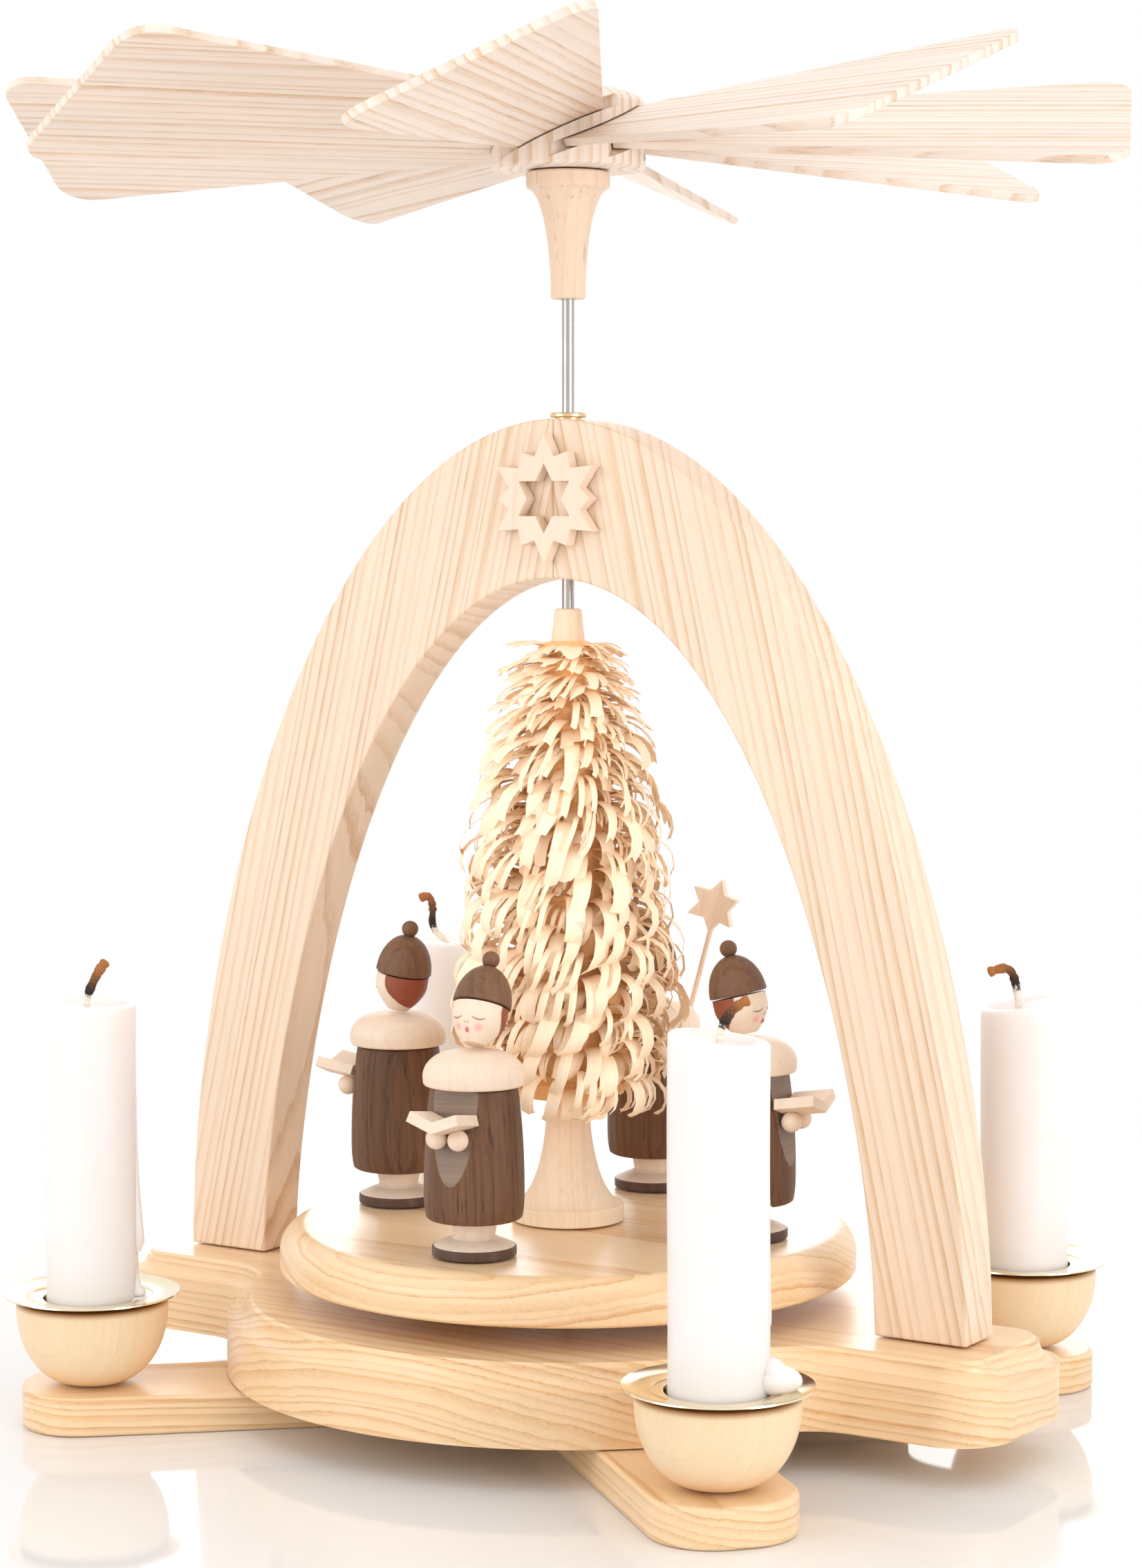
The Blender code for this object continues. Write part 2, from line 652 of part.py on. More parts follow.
def shave_curl(bm, face, height):
    """Draw one curl out of a face of the core: up a little, then over and down."""
    centre = face.calc_center_median()
    radial = Vector((centre.x, centre.y, 0.0)).normalized()
    across = Vector((-radial.y, radial.x, 0.0))
    up = Vector((0.0, 0.0, 1.0))
    start = core_radius(height)
    reach = tree_radius(height) - start
    level = TREE_BOTTOM + height
    thick = up
    for share, rise, breadth, slope in CURL_PATH:
        middle = face.calc_center_median()
        face = bmesh.ops.extrude_discrete_faces(bm, faces=[face])["faces"][0]
        next_middle = radial * (start + reach * share) + up * (level + rise)
        lean = math.radians(slope)
        next_thick = radial * math.sin(lean) + up * math.cos(lean)
        for vert in face.verts:
            offset = vert.co - middle
            side = math.copysign(CURL_WIDTH * breadth / 2, offset.dot(across))
            layer = math.copysign(CURL_THICKNESS / 2, offset.dot(thick))
            vert.co = next_middle + across * side + next_thick * layer
        thick = next_thick


def root_faces(bm, height, shift, segments):
    """Return every second face of the core's band at a height, starting at a shift."""
    level = TREE_BOTTOM + height
    chosen = []
    for face in bm.faces:
        centre = face.calc_center_median()
        in_band = abs(centre.z - level) < CURL_THICKNESS / 2
        if not in_band or math.hypot(centre.x, centre.y) < TREE_TIP_RADIUS:
            continue
        index = int(math.atan2(centre.y, centre.x) % math.tau / math.tau * segments)
        if index % 2 == shift:
            chosen.append(face)
    return chosen


def build_tree(rotor):
    """A bored core, turned with a tip, and tiers of curls that stand in each other's gaps."""
    pitch = TREE_BODY_HEIGHT / TREE_TIERS
    tip = TREE_BODY_HEIGHT + TREE_TIP_HEIGHT
    roots = [TREE_BODY_HEIGHT - pitch * (tier + TREE_FIRST_TIER) for tier in range(TREE_TIERS)]
    profile = [(TREE_TIP_RADIUS - GAP, tip), (TREE_TIP_RADIUS, tip - 2 * GAP),
               (TREE_TIP_RADIUS, TREE_BODY_HEIGHT)]
    for height in roots:
        for level in (height + CURL_THICKNESS, height - CURL_THICKNESS):
            profile.append((core_radius(level), level))
    profile += [(TREE_CORE_BOTTOM_RADIUS, 0.0), (SHAFT_BORE, 0.0), (SHAFT_BORE, tip)]
    segments = 2 * TREE_CURLS
    bm = bmesh.new()
    verts = [bm.verts.new((radius, 0.0, TREE_BOTTOM + height)) for radius, height in profile]
    edges = [bm.edges.new(pair) for pair in zip(verts, verts[1:] + verts[:1])]
    bmesh.ops.spin(bm, geom=verts + edges, cent=(0.0, 0.0, 0.0), axis=(0.0, 0.0, 1.0),
                   angle=math.tau, steps=segments)
    bmesh.ops.remove_doubles(bm, verts=bm.verts, dist=0.000001)
    bmesh.ops.recalc_face_normals(bm, faces=bm.faces)
    for tier, height in enumerate(roots):
        for face in root_faces(bm, height, tier % 2, segments):
            shave_curl(bm, face, height)
    bmesh.ops.recalc_face_normals(bm, faces=bm.faces)
    mesh = bpy.data.meshes.new("shaved_tree")
    bm.to_mesh(mesh)
    bm.free()
    add_part("shaved_tree", mesh, "linden", rotor)


# Wing wheel

def build_hub_stem(rotor):
    """A turned stem: a band at the top and a hollow flare to a thin lower end."""
    top = STEM_BOTTOM + STEM_HEIGHT
    flare = ellipse((STEM_TOP_RADIUS, STEM_BOTTOM),
                    (STEM_TOP_RADIUS - STEM_BOTTOM_RADIUS, STEM_HEIGHT - STEM_BAND_HEIGHT),
                    90.0, 175.0)
    profile = [(STEM_TOP_RADIUS, top)] + flare + [(STEM_BOTTOM_RADIUS - GAP, STEM_BOTTOM)]
    turned("hub_stem", profile, "beech", CUP_SEGMENTS, rotor, bore=SHAFT_BORE)


def build_wing_hub(rotor):
    """A thick disc with a domed top, a blind bore and one slanted saw cut for each wing."""
    top = HUB_BOTTOM + HUB_HEIGHT
    blind = HUB_BOTTOM + SHAFT_GRIP_IN_HUB + GAP
    dome = ellipse((0.0, top - HUB_DOME), (HUB_RADIUS, HUB_DOME), 90.0, 0.0)
    profile = [(0.0, top)] + dome[1:]
    profile += [(HUB_RADIUS, HUB_BOTTOM + HUB_EDGE), (HUB_RADIUS - HUB_EDGE, HUB_BOTTOM),
                (SHAFT_BORE, HUB_BOTTOM), (SHAFT_BORE, blind), (0.0, blind)]
    hub = add_part("wing_hub", turned_mesh("wing_hub", profile), "pale_ash", rotor)
    lathe(hub, DISC_SEGMENTS)
    half = WING_THICKNESS / 2 + GAP
    for i in range(WING_COUNT):
        slot = box_mesh(f"wing_slot_{i + 1}", (HUB_CORE_RADIUS, -2 * HUB_RADIUS, -half),
                        (2 * HUB_RADIUS, 2 * HUB_RADIUS, half))
        boolean(hub, add_cutter(f"wing_slot_{i + 1}", slot, wing_matrix(i), rotor))


def wing_matrix(index):
    """Return the frame of one wing: +X outward along the wing, pitched about it."""
    angle = WING_START_ANGLE + 360.0 / WING_COUNT * index
    return move(z=WING_AXIS_HEIGHT) @ outward(angle) @ turn(WING_PITCH, "X")


def round_corner(before, corner, after, radius):
    """Return the arc that rounds one corner of an outline."""
    point = Vector(corner)
    back = (Vector(before) - point).normalized()
    ahead = (Vector(after) - point).normalized()
    half = back.angle(ahead) / 2
    centre = point + (back + ahead).normalized() * (radius / math.sin(half))
    first = point + back * (radius / math.tan(half)) - centre
    start = math.degrees(math.atan2(first.y, first.x))
    sweep = 180.0 - math.degrees(2 * half)
    return arc(centre, radius, start, start + sweep)


def build_wings(rotor):
    """Flat wings that widen outward, with round outer corners and a tenon in the hub."""
    root = HUB_CORE_RADIUS + GAP
    spread = (WING_TIP_WIDTH - WING_ROOT_WIDTH) / 2 / (WING_TIP_RADIUS - HUB_RADIUS)
    root_half = WING_ROOT_WIDTH / 2 - spread * (HUB_RADIUS - root)
    tip_half = WING_TIP_WIDTH / 2
    corners = [(root, -root_half), (WING_TIP_RADIUS, -tip_half),
               (WING_TIP_RADIUS, tip_half), (root, root_half)]
    outline = [corners[0]]
    outline += round_corner(corners[0], corners[1], corners[2], WING_TIP_CORNER)
    outline += round_corner(corners[1], corners[2], corners[3], WING_TIP_CORNER)
    outline.append(corners[3])
    for i in range(WING_COUNT):
        name = f"wing_{i + 1}"
        add_part(name, prism_mesh(name, [outline], WING_THICKNESS), "pale_ash", rotor,
                 wing_matrix(i))


# Candle cups, drip dishes and candles

def build_candle_place(place, x, y):
    """One turned cup with its brass dish and its candle."""
    floor = CUP_HEIGHT - SOCKET_DEPTH
    bowl_height = CUP_HEIGHT - CUP_RIM
    bowl = ellipse((CUP_FLAT_RADIUS, bowl_height), (CUP_RADIUS - CUP_FLAT_RADIUS, bowl_height),
                   0.0, -90.0)
    profile = [(0.0, floor), (SOCKET_RADIUS, floor), (SOCKET_RADIUS, CUP_HEIGHT),
               (CUP_RADIUS - GAP, CUP_HEIGHT)]
    profile += bowl + [(0.0, 0.0)]
    name = f"candle_cup_{place}"
    cup = add_part(name, turned_mesh(name, profile), "maple", matrix=move(x, y, CUP_BOTTOM))
    lathe(cup, CUP_SEGMENTS)
    build_drip_dish(f"drip_dish_{place}", x, y)
    length = CANDLE_LENGTH[place]
    hollow = length - CANDLE_BOWL_DEPTH
    profile = [(WICK_RADIUS, length + WICK_HEIGHT), (WICK_RADIUS, hollow),
               (CANDLE_RADIUS - 2 * CANDLE_EDGE, hollow), (CANDLE_RADIUS - CANDLE_EDGE, length),
               (CANDLE_RADIUS, length - CANDLE_EDGE), (CANDLE_RADIUS, CANDLE_EDGE),
               (CANDLE_RADIUS - CANDLE_EDGE, 0.0)]
    turned(f"candle_{place}", profile, "wax", CUP_SEGMENTS,
           matrix=move(x, y, CUP_BOTTOM + floor + GAP))


def build_drip_dish(name, x, y):
    """A thin brass dish with a stepped well and a sleeve down into the cup."""
    sleeve = CANDLE_RADIUS + GAP + DISH_THICKNESS / 2
    profile = [(DISH_RIM_RADIUS, DISH_STEP + DISH_RIM_HEIGHT),
               (DISH_WELL_RADIUS + DISH_STEP, DISH_STEP), (DISH_WELL_RADIUS, 0.0),
               (sleeve, 0.0), (sleeve, -DISH_SLEEVE_LENGTH)]
    dish = add_part(name, turned_mesh(name, profile), "brass",
                    matrix=move(x, y, DISH_BOTTOM + DISH_THICKNESS / 2))
    lathe(dish, CUP_SEGMENTS)
    wall = dish.modifiers.new("Wall", "SOLIDIFY")
    wall.thickness = DISH_THICKNESS
    wall.offset = 0.0
    wall.use_even_offset = True


def build_candles():
    """The four candle places at the ends of the foot bars."""
    for depth_name, y in (("front", -CUP_REACH_Y), ("back", CUP_REACH_Y)):
        for side_name, x in (("left", -CUP_REACH_X), ("right", CUP_REACH_X)):
            build_candle_place(f"{depth_name}_{side_name}", x, y)


# Singers, each in a frame whose +X looks outward and whose origin is under the foot

LEG_TOP = SINGER_FOOT_RIM + SINGER_FOOT_CONE + SINGER_LEG_LENGTH
COAT_BOTTOM = LEG_TOP + GAP
COAT_TOP = COAT_BOTTOM + COAT_HEIGHT
COLLAR_BOTTOM = COAT_TOP + GAP
COLLAR_TOP = COLLAR_BOTTOM + COLLAR_HEIGHT
HAND_HEIGHT = COAT_BOTTOM + HAND_HEIGHT_ON_COAT
STAFF_HAND_SPREAD = HAND_RADIUS + STAFF_RADIUS - STAFF_GRIP
COAT_FLAT_TOP = COAT_TOP_RADIUS - COAT_FLAT_TOP_DEPTH
COAT_FLAT_SPREAD = (COAT_BELLY_RADIUS - COAT_FLAT_TOP) / COAT_FLAT_LENGTH
COAT_FLAT_LEAN = math.degrees(math.atan(COAT_FLAT_SPREAD))
UPRIGHT = turn(90.0, "Z") @ turn(90.0, "X")


def coat_flat(height):
    """Return how far the planed front of the coat stands from the singer's axis."""
    return COAT_FLAT_TOP + COAT_FLAT_SPREAD * (COAT_TOP - height)


def build_singer_foot(name, frame):
    """A round foot with a cone above it and the legs."""
    cone_top = SINGER_FOOT_RIM + SINGER_FOOT_CONE
    inner = SINGER_FOOT_RADIUS - GAP
    profile = [(SINGER_LEG_RADIUS, LEG_TOP), (SINGER_LEG_RADIUS - GAP, cone_top),
               (inner, SINGER_FOOT_RIM), (SINGER_FOOT_RADIUS, SINGER_FOOT_RIM - GAP),
               (SINGER_FOOT_RADIUS, GAP), (inner, 0.0)]
    turned(f"{name}_foot", profile, "stained", SMALL_SEGMENTS, frame)


def build_singer_coat(name, frame):
    """A turned coat with a belly, planed flat at the front from the collar down."""
    belly = COAT_BOTTOM + COAT_BELLY_HEIGHT
    profile = []
    for i in range(COAT_STEPS + 1):
        share = 1.0 - i / COAT_STEPS
        radius = COAT_BELLY_RADIUS - (COAT_BELLY_RADIUS - COAT_TOP_RADIUS) * share ** 2
        profile.append((radius, belly + (COAT_TOP - belly) * share))
    profile += [(COAT_BELLY_RADIUS, COAT_BOTTOM + COAT_HEM_HEIGHT), (COAT_HEM_RADIUS, COAT_BOTTOM)]
    coat = turned(f"{name}_coat", profile, "stained", SMALL_SEGMENTS, frame)
    plane = box_mesh(f"{name}_plane", (0.0, -COAT_HEIGHT, -2 * COAT_HEIGHT),
                     (COAT_HEIGHT, COAT_HEIGHT, COAT_HEIGHT))
    lean = move(COAT_FLAT_TOP, 0.0, COAT_TOP) @ turn(-COAT_FLAT_LEAN, "Y")
    boolean(coat, add_cutter(f"{name}_plane", plane, lean, frame))


def build_singer_head(name, frame, tilt):
    """Collar, then head and cap on one axis that leans back."""
    dome = ellipse((COLLAR_TOP_RADIUS, COLLAR_BOTTOM + COLLAR_RIM),
                   (COLLAR_RADIUS - COLLAR_TOP_RADIUS, COLLAR_HEIGHT - COLLAR_RIM), 90.0, 0.0)
    dome.append((COLLAR_RADIUS - COLLAR_RIM / 2, COLLAR_BOTTOM))
    turned(f"{name}_collar", dome, "maple", SMALL_SEGMENTS, frame)
    lift = COLLAR_TOP + GAP + NECK_RADIUS * math.sin(math.radians(tilt))
    tilted = move(z=lift) @ turn(-tilt, "Y")
    jaw = HEAD_RADIUS - NECK_RADIUS
    head = [(NECK_RADIUS + share * jaw, height * HEAD_HEIGHT) for share, height in HEAD_SHAPE]
    turned(f"{name}_head", head, "maple", SMALL_SEGMENTS, frame, tilted)
    cap = arc((0.0, CAP_HEIGHT + BOBBLE_LIFT), BOBBLE_RADIUS, 70.0, -50.0)
    crown_start = math.degrees(math.acos(BOBBLE_NECK_RADIUS / CAP_RADIUS))
    cap += ellipse((0.0, 0.0), (CAP_RADIUS, CAP_HEIGHT), crown_start, 0.0)
    turned(f"{name}_cap", cap, "stained", SMALL_SEGMENTS, frame, tilted @ move(z=HEAD_HEIGHT + GAP))


def join_hands(name, piece, frame, spread):
    """Join two ball hands to what the singer holds, each set off from the middle by the spread."""
    for side_name, sign in (("left", -1), ("right", 1)):
        ball = ball_mesh(f"{name}_hand_{side_name}", HAND_RADIUS)
        place = move(hand_reach(), sign * spread, HAND_HEIGHT)
        hand = add_cutter(f"{name}_hand_{side_name}", ball, place, frame)
        boolean(piece, hand, "UNION", "MANIFOLD")


def hand_reach():
    """Return how far the hands' centres stand from the singer's axis."""
    return coat_flat(HAND_HEIGHT) + (HAND_RADIUS + GAP) / math.cos(math.radians(COAT_FLAT_LEAN))


def build_songbook(name, frame):
    """An open book held square to the planed front, its leaves rising from the spine."""
    slope = math.radians(BOOK_LEAF_ANGLE)
    edge = Vector((math.cos(slope), math.sin(slope))) * BOOK_LEAF_WIDTH
    rise = Vector((-math.sin(slope), math.cos(slope))) * BOOK_THICKNESS
    right = [tuple(edge), tuple(edge + rise)]
    outline = [(0.0, 0.0)] + right + [(0.0, BOOK_THICKNESS / math.cos(slope))]
    outline += [(-x, y) for x, y in reversed(right)]
    spine = HAND_HEIGHT + BOOK_LIFT
    square = move(coat_flat(spine), 0.0, spine) @ turn(-COAT_FLAT_LEAN, "Y")
    book_name = f"{name}_songbook"
    book = add_part(book_name, prism_mesh(book_name, [outline], BOOK_DEPTH), "maple", frame,
                    square @ move(GAP + BOOK_DEPTH / 2) @ UPRIGHT)
    join_hands(name, book, frame, HAND_SPACING / 2)


def build_star_staff(name, frame):
    """A star on a thin staff, held in both hands and leaning to one side."""
    lean = move(hand_reach(), 0.0, HAND_HEIGHT) @ turn(STAFF_LEAN, "X")
    star_name = f"{name}_star_staff"
    outline = star_outline((STAFF_STAR_RADIUS, STAFF_STAR_RADIUS / math.sqrt(3)), 6)
    star = add_part(star_name, prism_mesh(star_name, [outline], STAFF_STAR_THICKNESS), "maple",
                    frame, lean @ move(z=STAFF_LENGTH) @ UPRIGHT)
    rod = rod_mesh(f"{name}_staff", STAFF_RADIUS, -HAND_RADIUS / 2, STAFF_LENGTH,
                   SMALL_SEGMENTS // 2)
    boolean(star, add_cutter(f"{name}_staff", rod, lean, frame), "UNION", "MANIFOLD")
    join_hands(name, star, frame, STAFF_HAND_SPREAD)


def build_singers(rotor):
    """Four singers round the tree; one of them carries a star instead of a book."""
    for i, (angle, tilt) in enumerate(zip(SINGER_ANGLES, HEAD_TILTS), start=1):
        name = f"singer_{i}"
        place = outward(angle) @ move(SINGER_RING_RADIUS, 0.0, TURNTABLE_TOP + GAP)
        frame = add_empty(name, place, rotor)
        build_singer_foot(name, frame)
        build_singer_coat(name, frame)
        build_singer_head(name, frame, tilt)
        if i == STAR_BEARER:
            build_star_staff(name, frame)
        else:
            build_songbook(name, frame)


def main():
    """Build the fixed frame, then everything that turns with the shaft."""
    clear_scene()
    build_foot_bars()
    build_base_plate()
    build_arch_screws()
    build_arch()
    build_arch_star()
    build_bearings()
    build_candles()
    rotor = add_empty("rotor", Matrix.Identity(4))
    build_shaft(rotor)
    build_turntable(rotor)
    build_trunk(rotor)
    build_tree(rotor)
    build_hub_stem(rotor)
    build_wing_hub(rotor)
    build_wings(rotor)
    build_singers(rotor)


main()
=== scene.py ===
"""Looks of a one-tier christmas pyramid: natural ash, turned singers, a shaved tree, wax and brass.

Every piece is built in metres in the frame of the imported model. Its place comes from the boxes
of the nodes it stands for, so nothing is fitted afterwards.
"""
import json
import logging
import math
import random
from dataclasses import dataclass, field
from enum import Enum
from typing import Any, Callable, Iterable, Sequence

import bmesh
import bpy
from mathutils import Matrix, Vector

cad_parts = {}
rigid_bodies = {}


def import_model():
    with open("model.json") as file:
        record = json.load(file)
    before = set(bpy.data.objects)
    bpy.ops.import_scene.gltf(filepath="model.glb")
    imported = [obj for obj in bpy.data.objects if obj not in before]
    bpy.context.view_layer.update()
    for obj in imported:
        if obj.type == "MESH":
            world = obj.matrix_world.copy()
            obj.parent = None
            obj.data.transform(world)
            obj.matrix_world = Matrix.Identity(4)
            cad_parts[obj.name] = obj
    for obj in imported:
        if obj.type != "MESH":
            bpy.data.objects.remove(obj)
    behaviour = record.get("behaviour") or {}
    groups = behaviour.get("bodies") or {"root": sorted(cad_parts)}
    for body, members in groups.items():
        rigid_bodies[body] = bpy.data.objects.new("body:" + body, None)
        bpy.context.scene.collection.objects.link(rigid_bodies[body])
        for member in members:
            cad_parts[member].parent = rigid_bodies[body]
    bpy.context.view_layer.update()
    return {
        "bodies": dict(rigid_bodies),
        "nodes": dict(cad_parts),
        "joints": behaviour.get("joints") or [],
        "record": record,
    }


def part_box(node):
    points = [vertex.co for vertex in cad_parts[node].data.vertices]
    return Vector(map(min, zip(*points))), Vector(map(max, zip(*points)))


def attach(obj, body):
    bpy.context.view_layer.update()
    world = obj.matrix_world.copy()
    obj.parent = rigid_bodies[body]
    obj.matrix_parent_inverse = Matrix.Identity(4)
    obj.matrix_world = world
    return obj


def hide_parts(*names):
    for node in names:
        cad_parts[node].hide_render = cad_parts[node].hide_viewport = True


LOG = logging.getLogger("christmas_pyramid")

Triple = tuple[float, float, float]
Colour = Triple
Point = tuple[float, float]
Line = Sequence[Point]
Row = Sequence[float]
Socket = bpy.types.NodeSocket
Material = bpy.types.Material

MM = 0.001
GAP = 0.3 * MM
OVER = 1.0 * MM
MERGE = 1e-6
CUT = 1e-7
UP = Vector((0.0, 0.0, 1.0))
EAST = Vector((1.0, 0.0, 0.0))
NORTH = Vector((0.0, 1.0, 0.0))
ORIGIN = Vector()
LEVEL = (1.0, 1.0, 0.0)
WHITE = (1.0, 1.0, 1.0)
BASE = "base"
ROTOR = "rotor"
HEAD_TILTS = (24.0, 14.0, 14.0, 10.0)
STAR_BEARER = 3


class Place(Enum):
    """The four candle places at the ends of the foot bars."""

    FRONT_RIGHT = "front_right"
    FRONT_LEFT = "front_left"
    BACK_RIGHT = "back_right"
    BACK_LEFT = "back_left"


class Burden(Enum):
    """What a singer holds."""

    SONGBOOK = "songbook"
    STAR_STAFF = "star_staff"


class Crease(Enum):
    """Edges that bend by more than this many degrees stay sharp."""

    CUT = 20.0
    CRISP = 25.0
    MOULDED = 28.0
    TURNED = 30.0
    PLAIN = 35.0
    ROUND = 40.0
    SHEET = 50.0
    WAX = 60.0
    SHAVING = 70.0


# Plane figures

def ellipse(centre: Point, radii: Point, start: float, end: float, steps: int) -> list[Point]:
    """Trace part of an upright ellipse.

    Args:
        centre: Middle of the ellipse.
        radii: Half axes across and up.
        start: First angle in degrees.
        end: Last angle in degrees.
        steps: Chords between the two.

    Returns:
        The points in order.
    """
    points = []
    for i in range(steps + 1):
        angle = math.radians(start + (end - start) * i / steps)
        points.append((centre[0] + radii[0] * math.cos(angle), centre[1] + radii[1] * math.sin(angle)))
    return points


def arc(centre: Point, radius: float, start: float, end: float, steps: int) -> list[Point]:
    """Trace part of a circle, as ellipse does."""
    return ellipse(centre, (radius, radius), start, end, steps)


def rounded(corners: Line, radii: Row, steps: int) -> list[Point]:
    """Round the corners of a closed outline that turns left all the way.

    Args:
        corners: The sharp corners in order.
        radii: The radius at each corner, or zero to keep it sharp.
        steps: Chords in each arc.

    Returns:
        The rounded outline.
    """
    outline: list[Point] = []
    for i, corner in enumerate(corners):
        if radii[i] == 0.0:
            outline.append(corner)
            continue
        point = Vector(corner)
        back = (Vector(corners[i - 1]) - point).normalized()
        ahead = (Vector(corners[(i + 1) % len(corners)]) - point).normalized()
        half = back.angle(ahead) / 2
        centre = point + (back + ahead).normalized() * (radii[i] / math.sin(half))
        first = point + back * (radii[i] / math.tan(half)) - centre
        start = math.degrees(math.atan2(first.y, first.x))
        outline += arc(tuple(centre), radii[i], start, start + 180.0 - math.degrees(2 * half), steps)
    return outline


def star(radii: Row, points: int) -> list[Point]:
    """Trace a star, one point up.

    Args:
        radii: Radii of its points and valleys, taken in turn.
        points: How often the radii repeat.

    Returns:
        The closed outline.
    """
    count = points * len(radii)
    outline = []
    for i in range(count):
        angle = math.pi / 2 + math.tau * i / count
        radius = radii[i % len(radii)]
        outline.append((radius * math.cos(angle), radius * math.sin(angle)))
    return outline


def smooth_path(points: Line, steps: int) -> list[Point]:
    """Pass a smooth curve through points of a plane.

    Args:
        points: The points to pass through.
        steps: Chords between two of them.

    Returns:
        The finer points.
    """
    ends = [points[0], *points, points[-1]]
    path = []
    for before, start, end, after in zip(ends, ends[1:], ends[2:], ends[3:]):
        for i in range(steps):
            t = i / steps
            path.append(tuple(0.5 * (2 * b + (c - a) * t + (2 * a - 5 * b + 4 * c - d) * t ** 2
                                     + (3 * b - a - 3 * c + d) * t ** 3)
                              for a, b, c, d in zip(before, start, end, after)))
    path.append(points[-1])
    return path


def lerp(low: float, high: float, share: float) -> float:
    """Return the value at a share of the way from low to high."""
    return low + (high - low) * share


def only(items: Iterable[Any], kind: type) -> list[Any]:
    """Return the items of one kind."""
    return [item for item in items if isinstance(item, kind)]


# Frames

def move(x: float = 0.0, y: float = 0.0, z: float = 0.0) -> Matrix:
    """Return a translation."""
    return Matrix.Translation((x, y, z))


def turn(degrees: float, axis: str = "Z") -> Matrix:
    """Return a rotation about one axis."""
    return Matrix.Rotation(math.radians(degrees), 4, axis)


def outward(degrees: float) -> Matrix:
    """Return the rotation whose +X looks outward at an angle from the front."""
    return turn(degrees - 90.0)


@dataclass(frozen=True)
class Span:
    """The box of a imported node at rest."""

    low: Vector
    high: Vector

    @classmethod
    def of(cls, node: str) -> "Span":
        """Read the box of one node."""
        return cls(*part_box(node))

    @property
    def centre(self) -> Vector:
        """The middle of the box."""
        return (self.low + self.high) / 2

    @property
    def size(self) -> Vector:
        """The lengths of the box's sides."""
        return self.high - self.low

    @property
    def radius(self) -> float:
        """Half the width along X, which is the radius of a turned piece."""
        return self.size.x / 2


# Meshes

